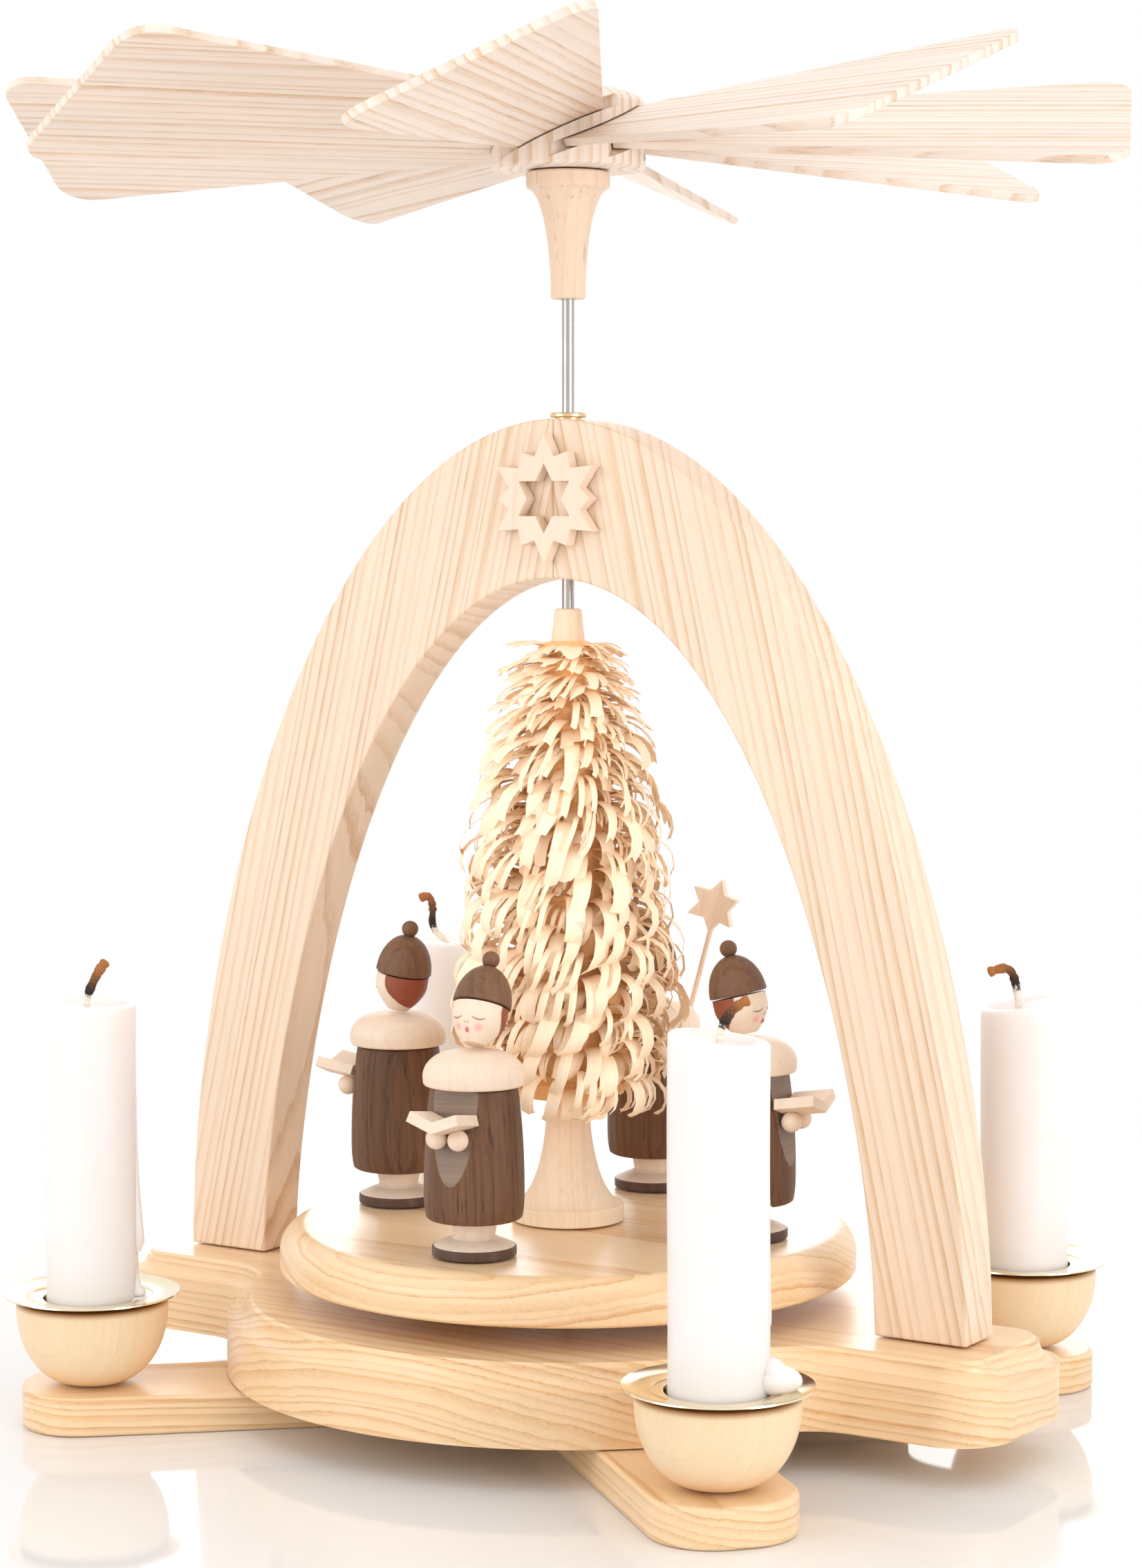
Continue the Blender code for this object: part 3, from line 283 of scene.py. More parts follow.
class Shape:
    """A mesh in the making, shaped by operators and then handed over as a piece."""

    def __init__(self, bm: bmesh.types.BMesh) -> None:
        """Take over a mesh."""
        self.bm = bm

    @classmethod
    def turned(cls, profile: Line, segments: int, closed: bool = False) -> "Shape":
        """Turn a profile about the Z axis.

        Args:
            profile: Points of radius and height.
            segments: Facets round the axis.
            closed: Whether the last point joins the first, as for a ring.

        Returns:
            The turned shape.
        """
        bm = bmesh.new()
        verts = [bm.verts.new((radius, 0.0, height)) for radius, height in profile]
        edges = [bm.edges.new(pair) for pair in zip(verts, verts[1:])]
        if closed:
            edges.append(bm.edges.new((verts[-1], verts[0])))
        bmesh.ops.spin(bm, geom=verts + edges, cent=ORIGIN, axis=UP, angle=math.tau,
                       steps=segments, use_merge=True, use_duplicate=False)
        bmesh.ops.remove_doubles(bm, verts=bm.verts, dist=MERGE)
        bmesh.ops.recalc_face_normals(bm, faces=bm.faces)
        return cls(bm)

    @classmethod
    def bore(cls, radius: float, low: float, high: float, segments: int) -> "Shape":
        """Turn a plain cylinder on the Z axis, as a drill leaves it."""
        return cls.turned([(0.0, high), (radius, high), (radius, low), (0.0, low)], segments)

    @classmethod
    def plate(cls, outlines: Sequence[Line], thickness: float) -> "Shape":
        """Cut a flat plate about its own XY plane.

        Args:
            outlines: The outer outline, and any cut-outs.
            thickness: Thickness along Z.

        Returns:
            The plate.
        """
        bm = bmesh.new()
        edges = []
        for outline in outlines:
            verts = [bm.verts.new((x, y, -thickness / 2)) for x, y in outline]
            edges += [bm.edges.new(pair) for pair in zip(verts, verts[1:] + verts[:1])]
        if len(outlines) == 1:
            faces = bmesh.ops.contextual_create(bm, geom=bm.verts)["faces"]
        else:
            filled = bmesh.ops.triangle_fill(bm, use_beauty=True, edges=edges)["geom"]
            faces = only(filled, bmesh.types.BMFace)
        return cls(bm).raised(faces, thickness)

    @classmethod
    def strip(cls, first: Line, second: Line, thickness: float) -> "Shape":
        """Cut a flat plate between two edges that have as many points each.

        Args:
            first: Points of one edge.
            second: Points of the other edge, in the same sense.
            thickness: Thickness along Z.

        Returns:
            The plate.
        """
        bm = bmesh.new()
        edges = []
        for line in (first, second):
            verts = [bm.verts.new((x, y, -thickness / 2)) for x, y in line]
            edges += [bm.edges.new(pair) for pair in zip(verts, verts[1:])]
        return cls(bm).raised(bmesh.ops.bridge_loops(bm, edges=edges)["faces"], thickness)

    def raised(self, faces: Sequence[bmesh.types.BMFace], thickness: float) -> "Shape":
        """Raise flat faces along Z to a plate.

        Args:
            faces: The faces that become the plate's lower side.
            thickness: How far they are raised.

        Returns:
            This shape.
        """
        geom = bmesh.ops.extrude_face_region(self.bm, geom=faces)["geom"]
        bmesh.ops.translate(self.bm, vec=UP * thickness, verts=only(geom, bmesh.types.BMVert))
        bmesh.ops.recalc_face_normals(self.bm, faces=self.bm.faces)
        return self

    @classmethod
    def ball(cls, radius: float, segments: int) -> "Shape":
        """Make a ball about the origin.

        Args:
            radius: Radius of the ball.
            segments: Facets round it.

        Returns:
            The ball.
        """
        bm = bmesh.new()
        bmesh.ops.create_uvsphere(bm, u_segments=segments, v_segments=segments // 2, radius=radius)
        return cls(bm)

    @classmethod
    def block(cls, low: Vector, high: Vector) -> "Shape":
        """Make a box.

        Args:
            low: Its corner with the lowest coordinates.
            high: The opposite corner.

        Returns:
            The box.
        """
        bm = bmesh.new()
        bmesh.ops.create_cube(bm, size=1.0)
        bmesh.ops.scale(bm, vec=high - low, verts=bm.verts)
        bmesh.ops.translate(bm, vec=(low + high) / 2, verts=bm.verts)
        return cls(bm)

    @classmethod
    def tube(cls, path: Sequence[Vector], radii: Row, sides: int) -> "Shape":
        """Draw a round rod along a path, closed at both ends.

        Args:
            path: Points of the centre line.
            radii: Radius at each point.
            sides: Facets round the rod.

        Returns:
            The rod, with the share of its length in the point attribute "along".
        """
        bm = bmesh.new()
        layer = bm.verts.layers.float.new("along")
        bmesh.ops.create_circle(bm, cap_ends=True, segments=sides, radius=1.0)
        cap = bm.faces[:]
        last = len(path) - 1
        frame = Matrix.Identity(4)
        for i, point in enumerate(path):
            if i:
                inner = cap if i > 1 else []
                cap = only(bmesh.ops.extrude_face_region(bm, geom=cap)["geom"], bmesh.types.BMFace)
                bmesh.ops.delete(bm, geom=inner, context="FACES_ONLY")
            ahead = path[min(i + 1, last)] - path[max(i - 1, 0)]
            facing = frame.to_3x3().col[2].rotation_difference(ahead).to_matrix().to_4x4()
            target = Matrix.Translation(point) @ facing @ frame.to_3x3().normalized().to_4x4()
            target = target @ Matrix.Scale(radii[i], 4)
            bmesh.ops.transform(bm, matrix=target @ frame.inverted(), verts=cap[0].verts)
            frame = target
            for vert in cap[0].verts:
                vert[layer] = i / last
        bmesh.ops.recalc_face_normals(bm, faces=bm.faces)
        return cls(bm)

    def soften(self, width: float, segments: int = 3, angle: float = 30.0) -> "Shape":
        """Round the sharp edges.

        Args:
            width: Width of the rounding.
            segments: Facets across it.
            angle: Edges sharper than this, in degrees, are rounded.

        Returns:
            This shape.
        """
        limit = math.radians(angle)
        edges = [edge for edge in self.bm.edges if edge.is_manifold and edge.calc_face_angle(0.0) > limit]
        bmesh.ops.bevel(self.bm, geom=edges, offset=width, offset_type="OFFSET", affect="EDGES",
                        segments=segments, profile=0.5, material=-1, clamp_overlap=True)
        return self

    def placed(self, matrix: Matrix) -> "Shape":
        """Carry the whole shape by a matrix."""
        bmesh.ops.transform(self.bm, matrix=matrix, verts=self.bm.verts)
        return self

    def joined(self, other: "Shape") -> "Shape":
        """Take another shape in as loose geometry.

        Args:
            other: The shape that is used up.

        Returns:
            This shape.
        """
        mesh = bpy.data.meshes.new("joined")
        other.bm.to_mesh(mesh)
        other.bm.free()
        self.bm.from_mesh(mesh)
        bpy.data.meshes.remove(mesh)
        return self

    def pushed(self, shift: Callable[[Vector], Vector]) -> "Shape":
        """Move every point by what a function returns for it."""
        for vert in self.bm.verts:
            vert.co += shift(vert.co)
        return self

    def marked(self, second: Callable[[float], bool]) -> "Shape":
        """Give the second material to the faces whose middle has a height that a test takes."""
        for face in self.bm.faces:
            face.material_index = int(second(face.calc_center_median().z))
        return self

    def sawn(self, point: Vector, normal: Vector, clear: bool) -> list[Any]:
        """Cut the mesh along a plane, take away what lies beyond if asked, and return the cut."""
        geom = self.bm.verts[:] + self.bm.edges[:] + self.bm.faces[:]
        return bmesh.ops.bisect_plane(self.bm, geom=geom, dist=CUT, plane_co=point, plane_no=normal,
                                      clear_outer=clear)["geom_cut"]

    def planed(self, point: Vector, normal: Vector, material: int) -> "Shape":
        """Plane the shape flat, and give the flat its own material.

        Args:
            point: A point of the flat.
            normal: Outward normal of the flat.
            material: Material index of the new face.

        Returns:
            This shape.
        """
        rim = only(self.sawn(point, normal, True), bmesh.types.BMEdge)
        for face in bmesh.ops.holes_fill(self.bm, edges=rim, sides=0)["faces"]:
            face.material_index = material
        bmesh.ops.recalc_face_normals(self.bm, faces=self.bm.faces)
        return self

    def carved(self, tools: Iterable["Shape"]) -> "Shape":
        """Cut other shapes out of this one.

        Args:
            tools: The shapes to cut out, which are used up.

        Returns:
            This shape.
        """
        holder = self.as_object("carved")
        cutters = [tool.as_object("cutter") for tool in tools]
        for cutter in cutters:
            step = holder.modifiers.new("cut", "BOOLEAN")
            step.operation = "DIFFERENCE"
            step.object = cutter
        bpy.context.view_layer.update()
        graph = bpy.context.evaluated_depsgraph_get()
        mesh = bpy.data.meshes.new_from_object(holder.evaluated_get(graph))
        self.bm = bmesh.new()
        self.bm.from_mesh(mesh)
        bpy.data.meshes.remove(mesh)
        for used in [holder, *cutters]:
            mesh = used.data
            bpy.data.objects.remove(used, do_unlink=True)
            bpy.data.meshes.remove(mesh)
        return self

    def as_object(self, name: str) -> bpy.types.Object:
        """Hand the mesh over to a new object in the scene.

        Args:
            name: Name of the object.

        Returns:
            The object.
        """
        mesh = bpy.data.meshes.new(name)
        self.bm.to_mesh(mesh)
        self.bm.free()
        made = bpy.data.objects.new(name, mesh)
        bpy.context.scene.collection.objects.link(made)
        return made

    def piece(self, name: str, materials: Sequence[Material], body: str, slot: str | None,
              nodes: Sequence[str] = (), crease: Crease = Crease.PLAIN) -> None:
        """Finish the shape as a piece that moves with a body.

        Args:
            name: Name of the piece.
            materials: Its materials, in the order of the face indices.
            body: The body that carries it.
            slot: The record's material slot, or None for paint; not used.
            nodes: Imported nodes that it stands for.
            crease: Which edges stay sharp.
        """
        made = self.as_object(name)
        for material in materials:
            made.data.materials.append(material)
        made.data.shade_smooth()
        made.data.set_sharp_from_angle(angle=math.radians(crease.value))
        weighted = made.modifiers.new("Even normals", "WEIGHTED_NORMAL")
        weighted.keep_sharp = True
        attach(made, body)
        if nodes:
            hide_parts(*nodes)
        LOG.info("%s rides on %s with %d faces", name, body, len(made.data.polygons))

    def dressed(self, node: str, materials: Sequence[Material], body: str, slot: str,
                crease: Crease = Crease.PLAIN) -> None:
        """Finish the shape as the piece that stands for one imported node."""
        self.piece(f"{node}_dressed", materials, body, slot, [node], crease)


# Materials

class Graph:
    """The node tree of a material or a world, with short calls for the nodes that finishes use."""

    def __init__(self, owner: Material | bpy.types.World) -> None:
        """Take over the tree of a new material or world.

        Args:
            owner: The material or world.
        """
        owner.use_nodes = True
        self.owner = owner
        self.tree = owner.node_tree

    @classmethod
    def of(cls, name: str) -> "Graph":
        """Start a material with a plain shader."""
        return cls(bpy.data.materials.new(name))

    def node(self, kind: str, inputs: dict[Any, Any], **settings: Any) -> bpy.types.Node:
        """Add a node.

        Args:
            kind: Blender's name of the node.
            inputs: Sockets or constants by input name or index.
            settings: Properties of the node.

        Returns:
            The node.
        """
        made = self.tree.nodes.new(kind)
        for key, value in settings.items():
            setattr(made, key, value)
        for key, value in inputs.items():
            self.feed(made.inputs[key], value)
        return made

    def feed(self, socket: Socket, value: Any) -> None:
        """Link a socket to another, or set its constant, where a colour has three numbers."""
        if isinstance(value, Socket):
            self.tree.links.new(value, socket)
        else:
            socket.default_value = (*value, 1.0) if socket.type == "RGBA" else value

    def finish(self, **sockets: Any) -> Material:
        """Feed the shader's sockets, named with underscores, and return the material."""
        for key, value in sockets.items():
            self.feed(self.tree.nodes["Principled BSDF"].inputs[key.replace("_", " ")], value)
        return self.owner

    def place(self, origin: Vector = ORIGIN, rotation: Row = (0.0, 0.0, 0.0)) -> Socket:
        """Return Object coordinates seen from a frame, given by its origin and its angles."""
        inputs = {"Vector": self.node("ShaderNodeTexCoord", {}).outputs["Object"],
                  "Location": origin, "Rotation": rotation}
        return self.node("ShaderNodeMapping", inputs, vector_type="TEXTURE").outputs[0]

    def attribute(self, name: str) -> Socket:
        """Return a value stored on the mesh."""
        return self.node("ShaderNodeAttribute", {}, attribute_name=name).outputs["Fac"]

    def math(self, operation: str, first: Any, second: Any = 0.0) -> Socket:
        """Combine two numbers."""
        return self.node("ShaderNodeMath", {0: first, 1: second}, operation=operation).outputs[0]

    def times(self, first: Any, second: Any) -> Socket:
        """Multiply two numbers."""
        return self.math("MULTIPLY", first, second)

    def plus(self, first: Any, second: Any) -> Socket:
        """Add two numbers."""
        return self.math("ADD", first, second)

    def minus(self, first: Any, second: Any) -> Socket:
        """Take the second number from the first."""
        return self.math("SUBTRACT", first, second)

    def centred(self, value: Any, width: float) -> Socket:
        """Swing a value from 0 to 1 about zero, to a width."""
        return self.times(self.minus(value, 0.5), width)

    def factor(self, value: Any, width: float) -> Socket:
        """Turn a value from 0 to 1 into a factor about one, to a width."""
        return self.plus(self.times(value, width), 1.0 - width / 2)

    def vector(self, operation: str, first: Any, second: Any) -> Socket:
        """Combine two vectors into a vector."""
        return self.node("ShaderNodeVectorMath", {0: first, 1: second}, operation=operation).outputs[0]

    def length(self, vector: Any) -> Socket:
        """Return the length of a vector."""
        return self.node("ShaderNodeVectorMath", {0: vector}, operation="LENGTH").outputs["Value"]

    def axis(self, vector: Any, name: str) -> Socket:
        """Return one component of a vector."""
        return self.node("ShaderNodeSeparateXYZ", {0: vector}).outputs[name]

    def noise(self, vector: Any, scale: float, detail: float = 2.0) -> Socket:
        """Return smooth noise from 0 to 1."""
        inputs = {"Vector": vector, "Scale": scale, "Detail": detail}
        return self.node("ShaderNodeTexNoise", inputs).outputs[0]

    def line_noise(self, value: Any, scale: float, detail: float) -> Socket:
        """Return smooth noise from 0 to 1 along one number."""
        inputs = {"W": value, "Scale": scale, "Detail": detail}
        return self.node("ShaderNodeTexNoise", inputs, noise_dimensions="1D").outputs[0]

    def ramp(self, value: Any, stops: Line) -> Socket:
        """Bend a value from 0 to 1 along grey stops.

        Args:
            value: The value.
            stops: Position and level of each stop.

        Returns:
            The bent value.
        """
        node = self.node("ShaderNodeValToRGB", {0: value})
        node.color_ramp.interpolation = "EASE"
        elements = node.color_ramp.elements
        while len(elements) < len(stops):
            elements.new(0.5)
        for element, (position, level) in zip(elements, stops):
            element.position = position
            element.color = (level, level, level, 1.0)
        return node.outputs[0]

    def remap(self, value: Any, low: float, high: float, first: float = 0.0, last: float = 1.0) -> Socket:
        """Carry a value smoothly from one range into another."""
        inputs = {0: value, 1: low, 2: high, 3: first, 4: last}
        return self.node("ShaderNodeMapRange", inputs, interpolation_type="SMOOTHSTEP").outputs[0]

    def mix(self, share: Any, first: Any, second: Any, blend: str = "MIX") -> Socket:
        """Blend two colours."""
        inputs = {0: share, 6: first, 7: second}
        return self.node("ShaderNodeMix", inputs, data_type="RGBA", blend_type=blend).outputs[2]

    def bump(self, height: Any, depth: float) -> Socket:
        """Return a normal roughened by a height from 0 to 1."""
        inputs = {"Strength": 1.0, "Distance": depth, "Height": height}
        return self.node("ShaderNodeBump", inputs).outputs[0]

    def seen(self) -> Socket:
        """Return 1 for what the eye, gloss and glass see, and 0 for light on surfaces.

        Returns:
            The switch.
        """
        rays = self.node("ShaderNodeLightPath", {}).outputs
        either = self.math("MAXIMUM", rays["Is Camera Ray"], rays["Is Glossy Ray"])
        return self.math("MAXIMUM", either, rays["Is Transmission Ray"])


@dataclass(frozen=True)
class Grain:
    """How a piece lay in its tree: along the fibres, across the rings, and where the pith was."""

    origin: Vector
    along: Vector = UP
    across: Vector = EAST
    pith: Point = (0.16, 0.03)

    def rotation(self) -> Triple:
        """Find the frame with +Z along the fibres and +X across the rings.

        Returns:
            The frame's turn, as angles.
        """
        along = self.along.normalized()
        across = (self.across - along * self.across.dot(along)).normalized()
        frame = Matrix((across, along.cross(across), along)).transposed()
        return tuple(frame.to_euler())


@dataclass(frozen=True)
class Figure:
    """How finely the figure of any wood is drawn: stretch along the fibres, and scales per metre."""

    slow: Triple = (1.0, 1.0, 0.18)
    fine: Triple = (1.0, 1.0, 0.035)
    dash: Triple = (1.0, 1.0, 0.11)
    upright: Triple = (0.0, 0.0, 1.0)
    sway: float = 38.0
    shake: float = 420.0
    shake_share: float = 0.45
    years: float = 0.41
    year_spread: float = 1.6
    weakest: float = 0.4
    fibre: float = 1500.0
    pore: float = 3300.0
    pore_edge: Point = (0.54, 0.66)
    dash_edge: Point = (0.63, 0.72)
    mottle: float = 75.0
    relief: float = 0.6
    turning: float = 2400.0


FIGURE = Figure()


@dataclass(frozen=True)
class Wood:
    """A wood with its year rings, fibres, pores and surface."""

    pale: Colour
    dark: Colour
    pore: Colour
    ring: float
    contrast: float = 0.8
    wobble: float = 2.5 * MM
    pores: float = 0.5
    fleck: float = 0.0
    fibre: float = 0.16
    roughness: float = 0.42
    depth: float = 0.04 * MM
    turning: float = 0.0
    mottle: float = 0.16
    gloss: float = 0.5
    lacquer: float = 0.0
    lacquer_roughness: float = 0.3
    profile: Line = ((0.0, 0.5), (0.07, 1.0), (0.3, 0.55), (0.55, 0.12), (1.0, 0.1))

    def colour(self, graph: Graph, grain: Grain) -> tuple[Socket, Socket]:
        """Lay out the wood's colour.

        Args:
            graph: The material's node tree.
            grain: How the piece was cut.

        Returns:
            The colour, and a height for the bump.
        """
        local = graph.place(grain.origin, grain.rotation())
        slow = graph.vector("MULTIPLY", local, FIGURE.slow)
        fine = graph.vector("MULTIPLY", local, FIGURE.fine)
        early = self.rings(graph, local, slow, fine, grain.pith)
        fibres = graph.noise(fine, FIGURE.fibre, 3.0)
        pores = graph.times(graph.remap(graph.noise(fine, FIGURE.pore), *FIGURE.pore_edge), early)
        colour = graph.mix(graph.times(early, self.contrast), self.pale, self.dark)
        colour = graph.mix(graph.times(pores, self.pores), colour, self.pore)
        if self.fleck:
            dashes = graph.noise(graph.vector("MULTIPLY", local, FIGURE.dash), FIGURE.fibre, 1.0)
            dashes = graph.remap(dashes, *FIGURE.dash_edge)
            colour = graph.mix(graph.times(dashes, self.fleck), colour, self.pore)
        tone = graph.factor(fibres, self.fibre)
        level = graph.times(tone, graph.factor(graph.noise(slow, FIGURE.mottle), self.mottle))
        grey = graph.node("ShaderNodeCombineXYZ", {0: level, 1: level, 2: level})
        colour = graph.mix(1.0, colour, grey.outputs[0], "MULTIPLY")
        height = graph.minus(graph.times(fibres, FIGURE.relief), graph.times(pores, FIGURE.relief))
        if self.turning:
            lines = graph.noise(graph.vector("MULTIPLY", local, FIGURE.upright), FIGURE.turning)
            height = graph.plus(height, graph.times(lines, self.turning))
        return colour, height

    def rings(self, graph: Graph, local: Socket, slow: Socket, fine: Socket, pith: Point) -> Socket:
        """Draw the year rings round the pith.

        Args:
            graph: The material's node tree.
            local: Coordinates in the frame of the grain.
            slow: The same, drawn out for broad changes.
            fine: The same, drawn out to fibres.
            pith: Where the pith was.

        Returns:
            How much of the open early wood shows.
        """
        flat = graph.vector("MULTIPLY", graph.vector("SUBTRACT", local, (*pith, 0.0)), LEVEL)
        sway = graph.centred(graph.noise(slow, FIGURE.sway, 3.0), 2 * self.wobble)
        shake = graph.centred(graph.noise(fine, FIGURE.shake), FIGURE.shake_share * self.ring)
        reach = graph.plus(graph.plus(graph.length(flat), sway), shake)
        phase = graph.math("DIVIDE", reach, self.ring)
        phase = graph.plus(phase, graph.times(graph.line_noise(phase, FIGURE.years, 1.0), FIGURE.year_spread))
        year = graph.node("ShaderNodeTexWhiteNoise", {"W": graph.math("FLOOR", phase)}, noise_dimensions="1D")
        strength = graph.plus(graph.times(year.outputs["Value"], 1.0 - FIGURE.weakest), FIGURE.weakest)
        return graph.times(graph.ramp(graph.math("FRACT", phase), self.profile), strength)

    def material(self, name: str, grain: Grain) -> Material:
        """Make the material of one piece.

        Args:
            name: Name of the material.
            grain: How the piece was cut.

        Returns:
            The material.
        """
        graph = Graph.of(name)
        colour, height = self.colour(graph, grain)
        return graph.finish(Base_Color=colour, Roughness=self.roughness, Specular_IOR_Level=self.gloss,
                            Coat_Weight=self.lacquer, Coat_Roughness=self.lacquer_roughness,
                            Normal=graph.bump(height, self.depth))


# ASH of the base, turntable and foot bars is a deeper orange than ARCH_ASH, though both are the one ash; the
# difference is partly painted light: warm light and shade on the lower pieces.
ASH = Wood(pale=(0.90, 0.65, 0.39), dark=(0.72, 0.40, 0.16), pore=(0.48, 0.24, 0.09),
           ring=1.6 * MM, contrast=0.9, roughness=0.36, lacquer=0.5)
# ARCH_ASH is paler and pinker than ASH, partly painted light: it stands for the brighter light on the high
# arch.
ARCH_ASH = Wood(pale=(0.88, 0.70, 0.54), dark=(0.70, 0.46, 0.27), pore=(0.54, 0.32, 0.16),
                ring=1.9 * MM, wobble=1.2 * MM, contrast=0.9, roughness=0.42)
WING_ASH = Wood(pale=(0.88, 0.76, 0.67), dark=(0.72, 0.49, 0.31), pore=(0.52, 0.33, 0.18),
                ring=2.3 * MM, wobble=1.4 * MM, contrast=0.95, pores=0.75, roughness=0.5)
MAPLE = Wood(pale=(0.88, 0.67, 0.43), dark=(0.75, 0.53, 0.31), pore=(0.64, 0.43, 0.24),
             ring=3.0 * MM, contrast=0.45, pores=0.15, fibre=0.10, roughness=0.38,
             profile=((0.0, 0.1), (0.5, 0.1), (0.9, 0.35), (0.97, 1.0), (1.0, 0.3)))
DOLL_MAPLE = Wood(pale=(0.87, 0.70, 0.55), dark=(0.70, 0.50, 0.34), pore=(0.66, 0.46, 0.31),
                  ring=2.6 * MM, contrast=0.4, pores=0.25, fibre=0.10, roughness=0.5, wobble=1.0 * MM,
                  profile=((0.0, 0.05), (0.6, 0.05), (0.9, 0.2), (0.97, 1.0), (1.0, 0.2)))
BEECH = Wood(pale=(0.84, 0.64, 0.48), dark=(0.74, 0.53, 0.38), pore=(0.55, 0.35, 0.22),
             ring=3.2 * MM, contrast=0.4, pores=0.3, fleck=0.6, fibre=0.12, roughness=0.5)
LINDEN = Wood(pale=(0.95, 0.76, 0.56), dark=(0.87, 0.63, 0.42), pore=(0.76, 0.52, 0.32),
              ring=1.6 * MM, contrast=0.5, pores=0.3, fibre=0.16, roughness=0.55)
STAIN = Wood(pale=(0.155, 0.073, 0.036), dark=(0.078, 0.036, 0.019), pore=(0.034, 0.017, 0.010),
             ring=1.7 * MM, contrast=0.6, pores=0.7, fleck=0.55, fibre=0.7, roughness=0.45,
             wobble=3.0 * MM, depth=0.06 * MM, mottle=1.2, gloss=0.28)
CAP_STAIN = Wood(pale=(0.205, 0.104, 0.055), dark=(0.125, 0.060, 0.030), pore=(0.034, 0.016, 0.009),
                 ring=2.4 * MM, contrast=0.5, pores=0.5, fleck=0.3, fibre=0.5, roughness=0.48,
                 turning=0.9, mottle=0.7, gloss=0.28)
PLANED_STAIN = Wood(pale=(0.24, 0.155, 0.105), dark=(0.14, 0.088, 0.058), pore=(0.06, 0.038, 0.026),
                    ring=1.2 * MM, contrast=0.6, pores=0.5, fibre=0.9, roughness=0.4, mottle=0.6)
FOOT_STAIN = Wood(pale=(0.100, 0.050, 0.034), dark=(0.065, 0.033, 0.022), pore=(0.03, 0.017, 0.012),
                  ring=2.4 * MM, contrast=0.3, pores=0.2, fibre=0.3, roughness=0.32, gloss=0.4)
# The core is painted a deep orange that stands for the warm glow of light passing through the shavings onto
# it.
CORE_PAINTED_GLOW = Wood(pale=(1.0, 0.62, 0.30), dark=(0.95, 0.52, 0.22), pore=(0.74, 0.42, 0.18),
            ring=1.4 * MM, contrast=0.6, pores=0.2, fibre=0.3, roughness=0.55, depth=0.1 * MM)


@dataclass(frozen=True)
class RimBandMaple:
    """Maple of a candle cup, darker brown in a thin band just below its upper edge, under the dish."""

    wood: Wood = MAPLE
    band_colour: Colour = (0.34, 0.15, 0.04)
    reach: float = 1.5 * MM
    fade: float = 1.4

    def material(self, name: str, grain: Grain, top: float) -> Material:
        """Make the cup's material.

        Args:
            name: Name of the material.
            grain: How the cup was cut.
            top: Height of the cup's upper edge.

        Returns:
            The material.
        """
        graph = Graph.of(name)
        colour, height = self.wood.colour(graph, grain)
        # Darker brown towards the cup's upper edge, in a thin band under the dish.
        burnt = graph.remap(graph.axis(graph.place(UP * top), "Z"), -self.reach, 0.0)
        colour = graph.mix(graph.math("POWER", burnt, self.fade), colour, self.band_colour)
        return graph.finish(Base_Color=colour, Roughness=self.wood.roughness,
                            Normal=graph.bump(height, self.wood.depth))


@dataclass(frozen=True)
class Metal:
    """A turned or drawn metal with fine lines left by the tool."""

    colour: Colour
    shade: Colour
    roughness: float
    lines: float
    line_scale: float = 4200.0
    cloud_scale: float = 260.0
    cloud_range: Point = (0.2, 0.8)
    rough_range: Point = (0.75, 1.3)

    def material(self, name: str, centre: Vector, spun: bool = True) -> Material:
        """Make the metal of one piece.

        Args:
            name: Name of the material.
            centre: A point on the axis of the piece.
            spun: Whether the lines run round on its face, and not round its side.

        Returns:
            The material.
        """
        graph = Graph.of(name)
        local = graph.place(centre)
        along = graph.length(graph.vector("MULTIPLY", local, LEVEL)) if spun else graph.axis(local, "Z")
        lines = graph.line_noise(along, self.line_scale, 3.0)
        cloud = graph.noise(local, self.cloud_scale, 3.0)
        tone = graph.mix(graph.times(cloud, lines), self.colour, self.shade)
        rough = graph.remap(cloud, *self.cloud_range, *(share * self.roughness for share in self.rough_range))
        return graph.finish(Base_Color=tone, Metallic=1.0, Roughness=rough,
                            Normal=graph.bump(lines, self.lines))


BRASS = Metal((0.95, 0.84, 0.62), (0.86, 0.70, 0.43), roughness=0.15, lines=0.002 * MM)
DULL_BRASS = Metal((0.84, 0.64, 0.38), (0.68, 0.48, 0.24), roughness=0.3, lines=0.004 * MM)
STEEL = Metal((0.52, 0.49, 0.46), (0.36, 0.33, 0.31), roughness=0.24, lines=0.0005 * MM)


@dataclass(frozen=True)
class Wax:
    """White wax that lets a little light in."""

    colour: Colour = (0.865, 0.825, 0.81)
    warm: Colour = (0.865, 0.815, 0.785)
    roughness: float = 0.38
    clear: float = 0.6
    glow: Triple = (1.0, 0.94, 0.9)
    glow_depth: float = 6.0 * MM
    cloud_scale: float = 130.0
    cloud_range: Point = (0.4, 0.75)
    grain_scale: float = 1400.0
    depth: float = 0.02 * MM

    def material(self, name: str) -> Material:
        """Make the wax.

        Args:
            name: Name of the material.

        Returns:
            The material.
        """
        graph = Graph.of(name)
        local = graph.place()
        cloud = graph.remap(graph.noise(local, self.cloud_scale, 3.0), *self.cloud_range)
        grain = graph.noise(local, self.grain_scale, 3.0)
        return graph.finish(Base_Color=graph.mix(cloud, self.colour, self.warm), Roughness=self.roughness,
                            Subsurface_Weight=self.clear, Subsurface_Radius=self.glow,
                            Subsurface_Scale=self.glow_depth, Normal=graph.bump(grain, self.depth))


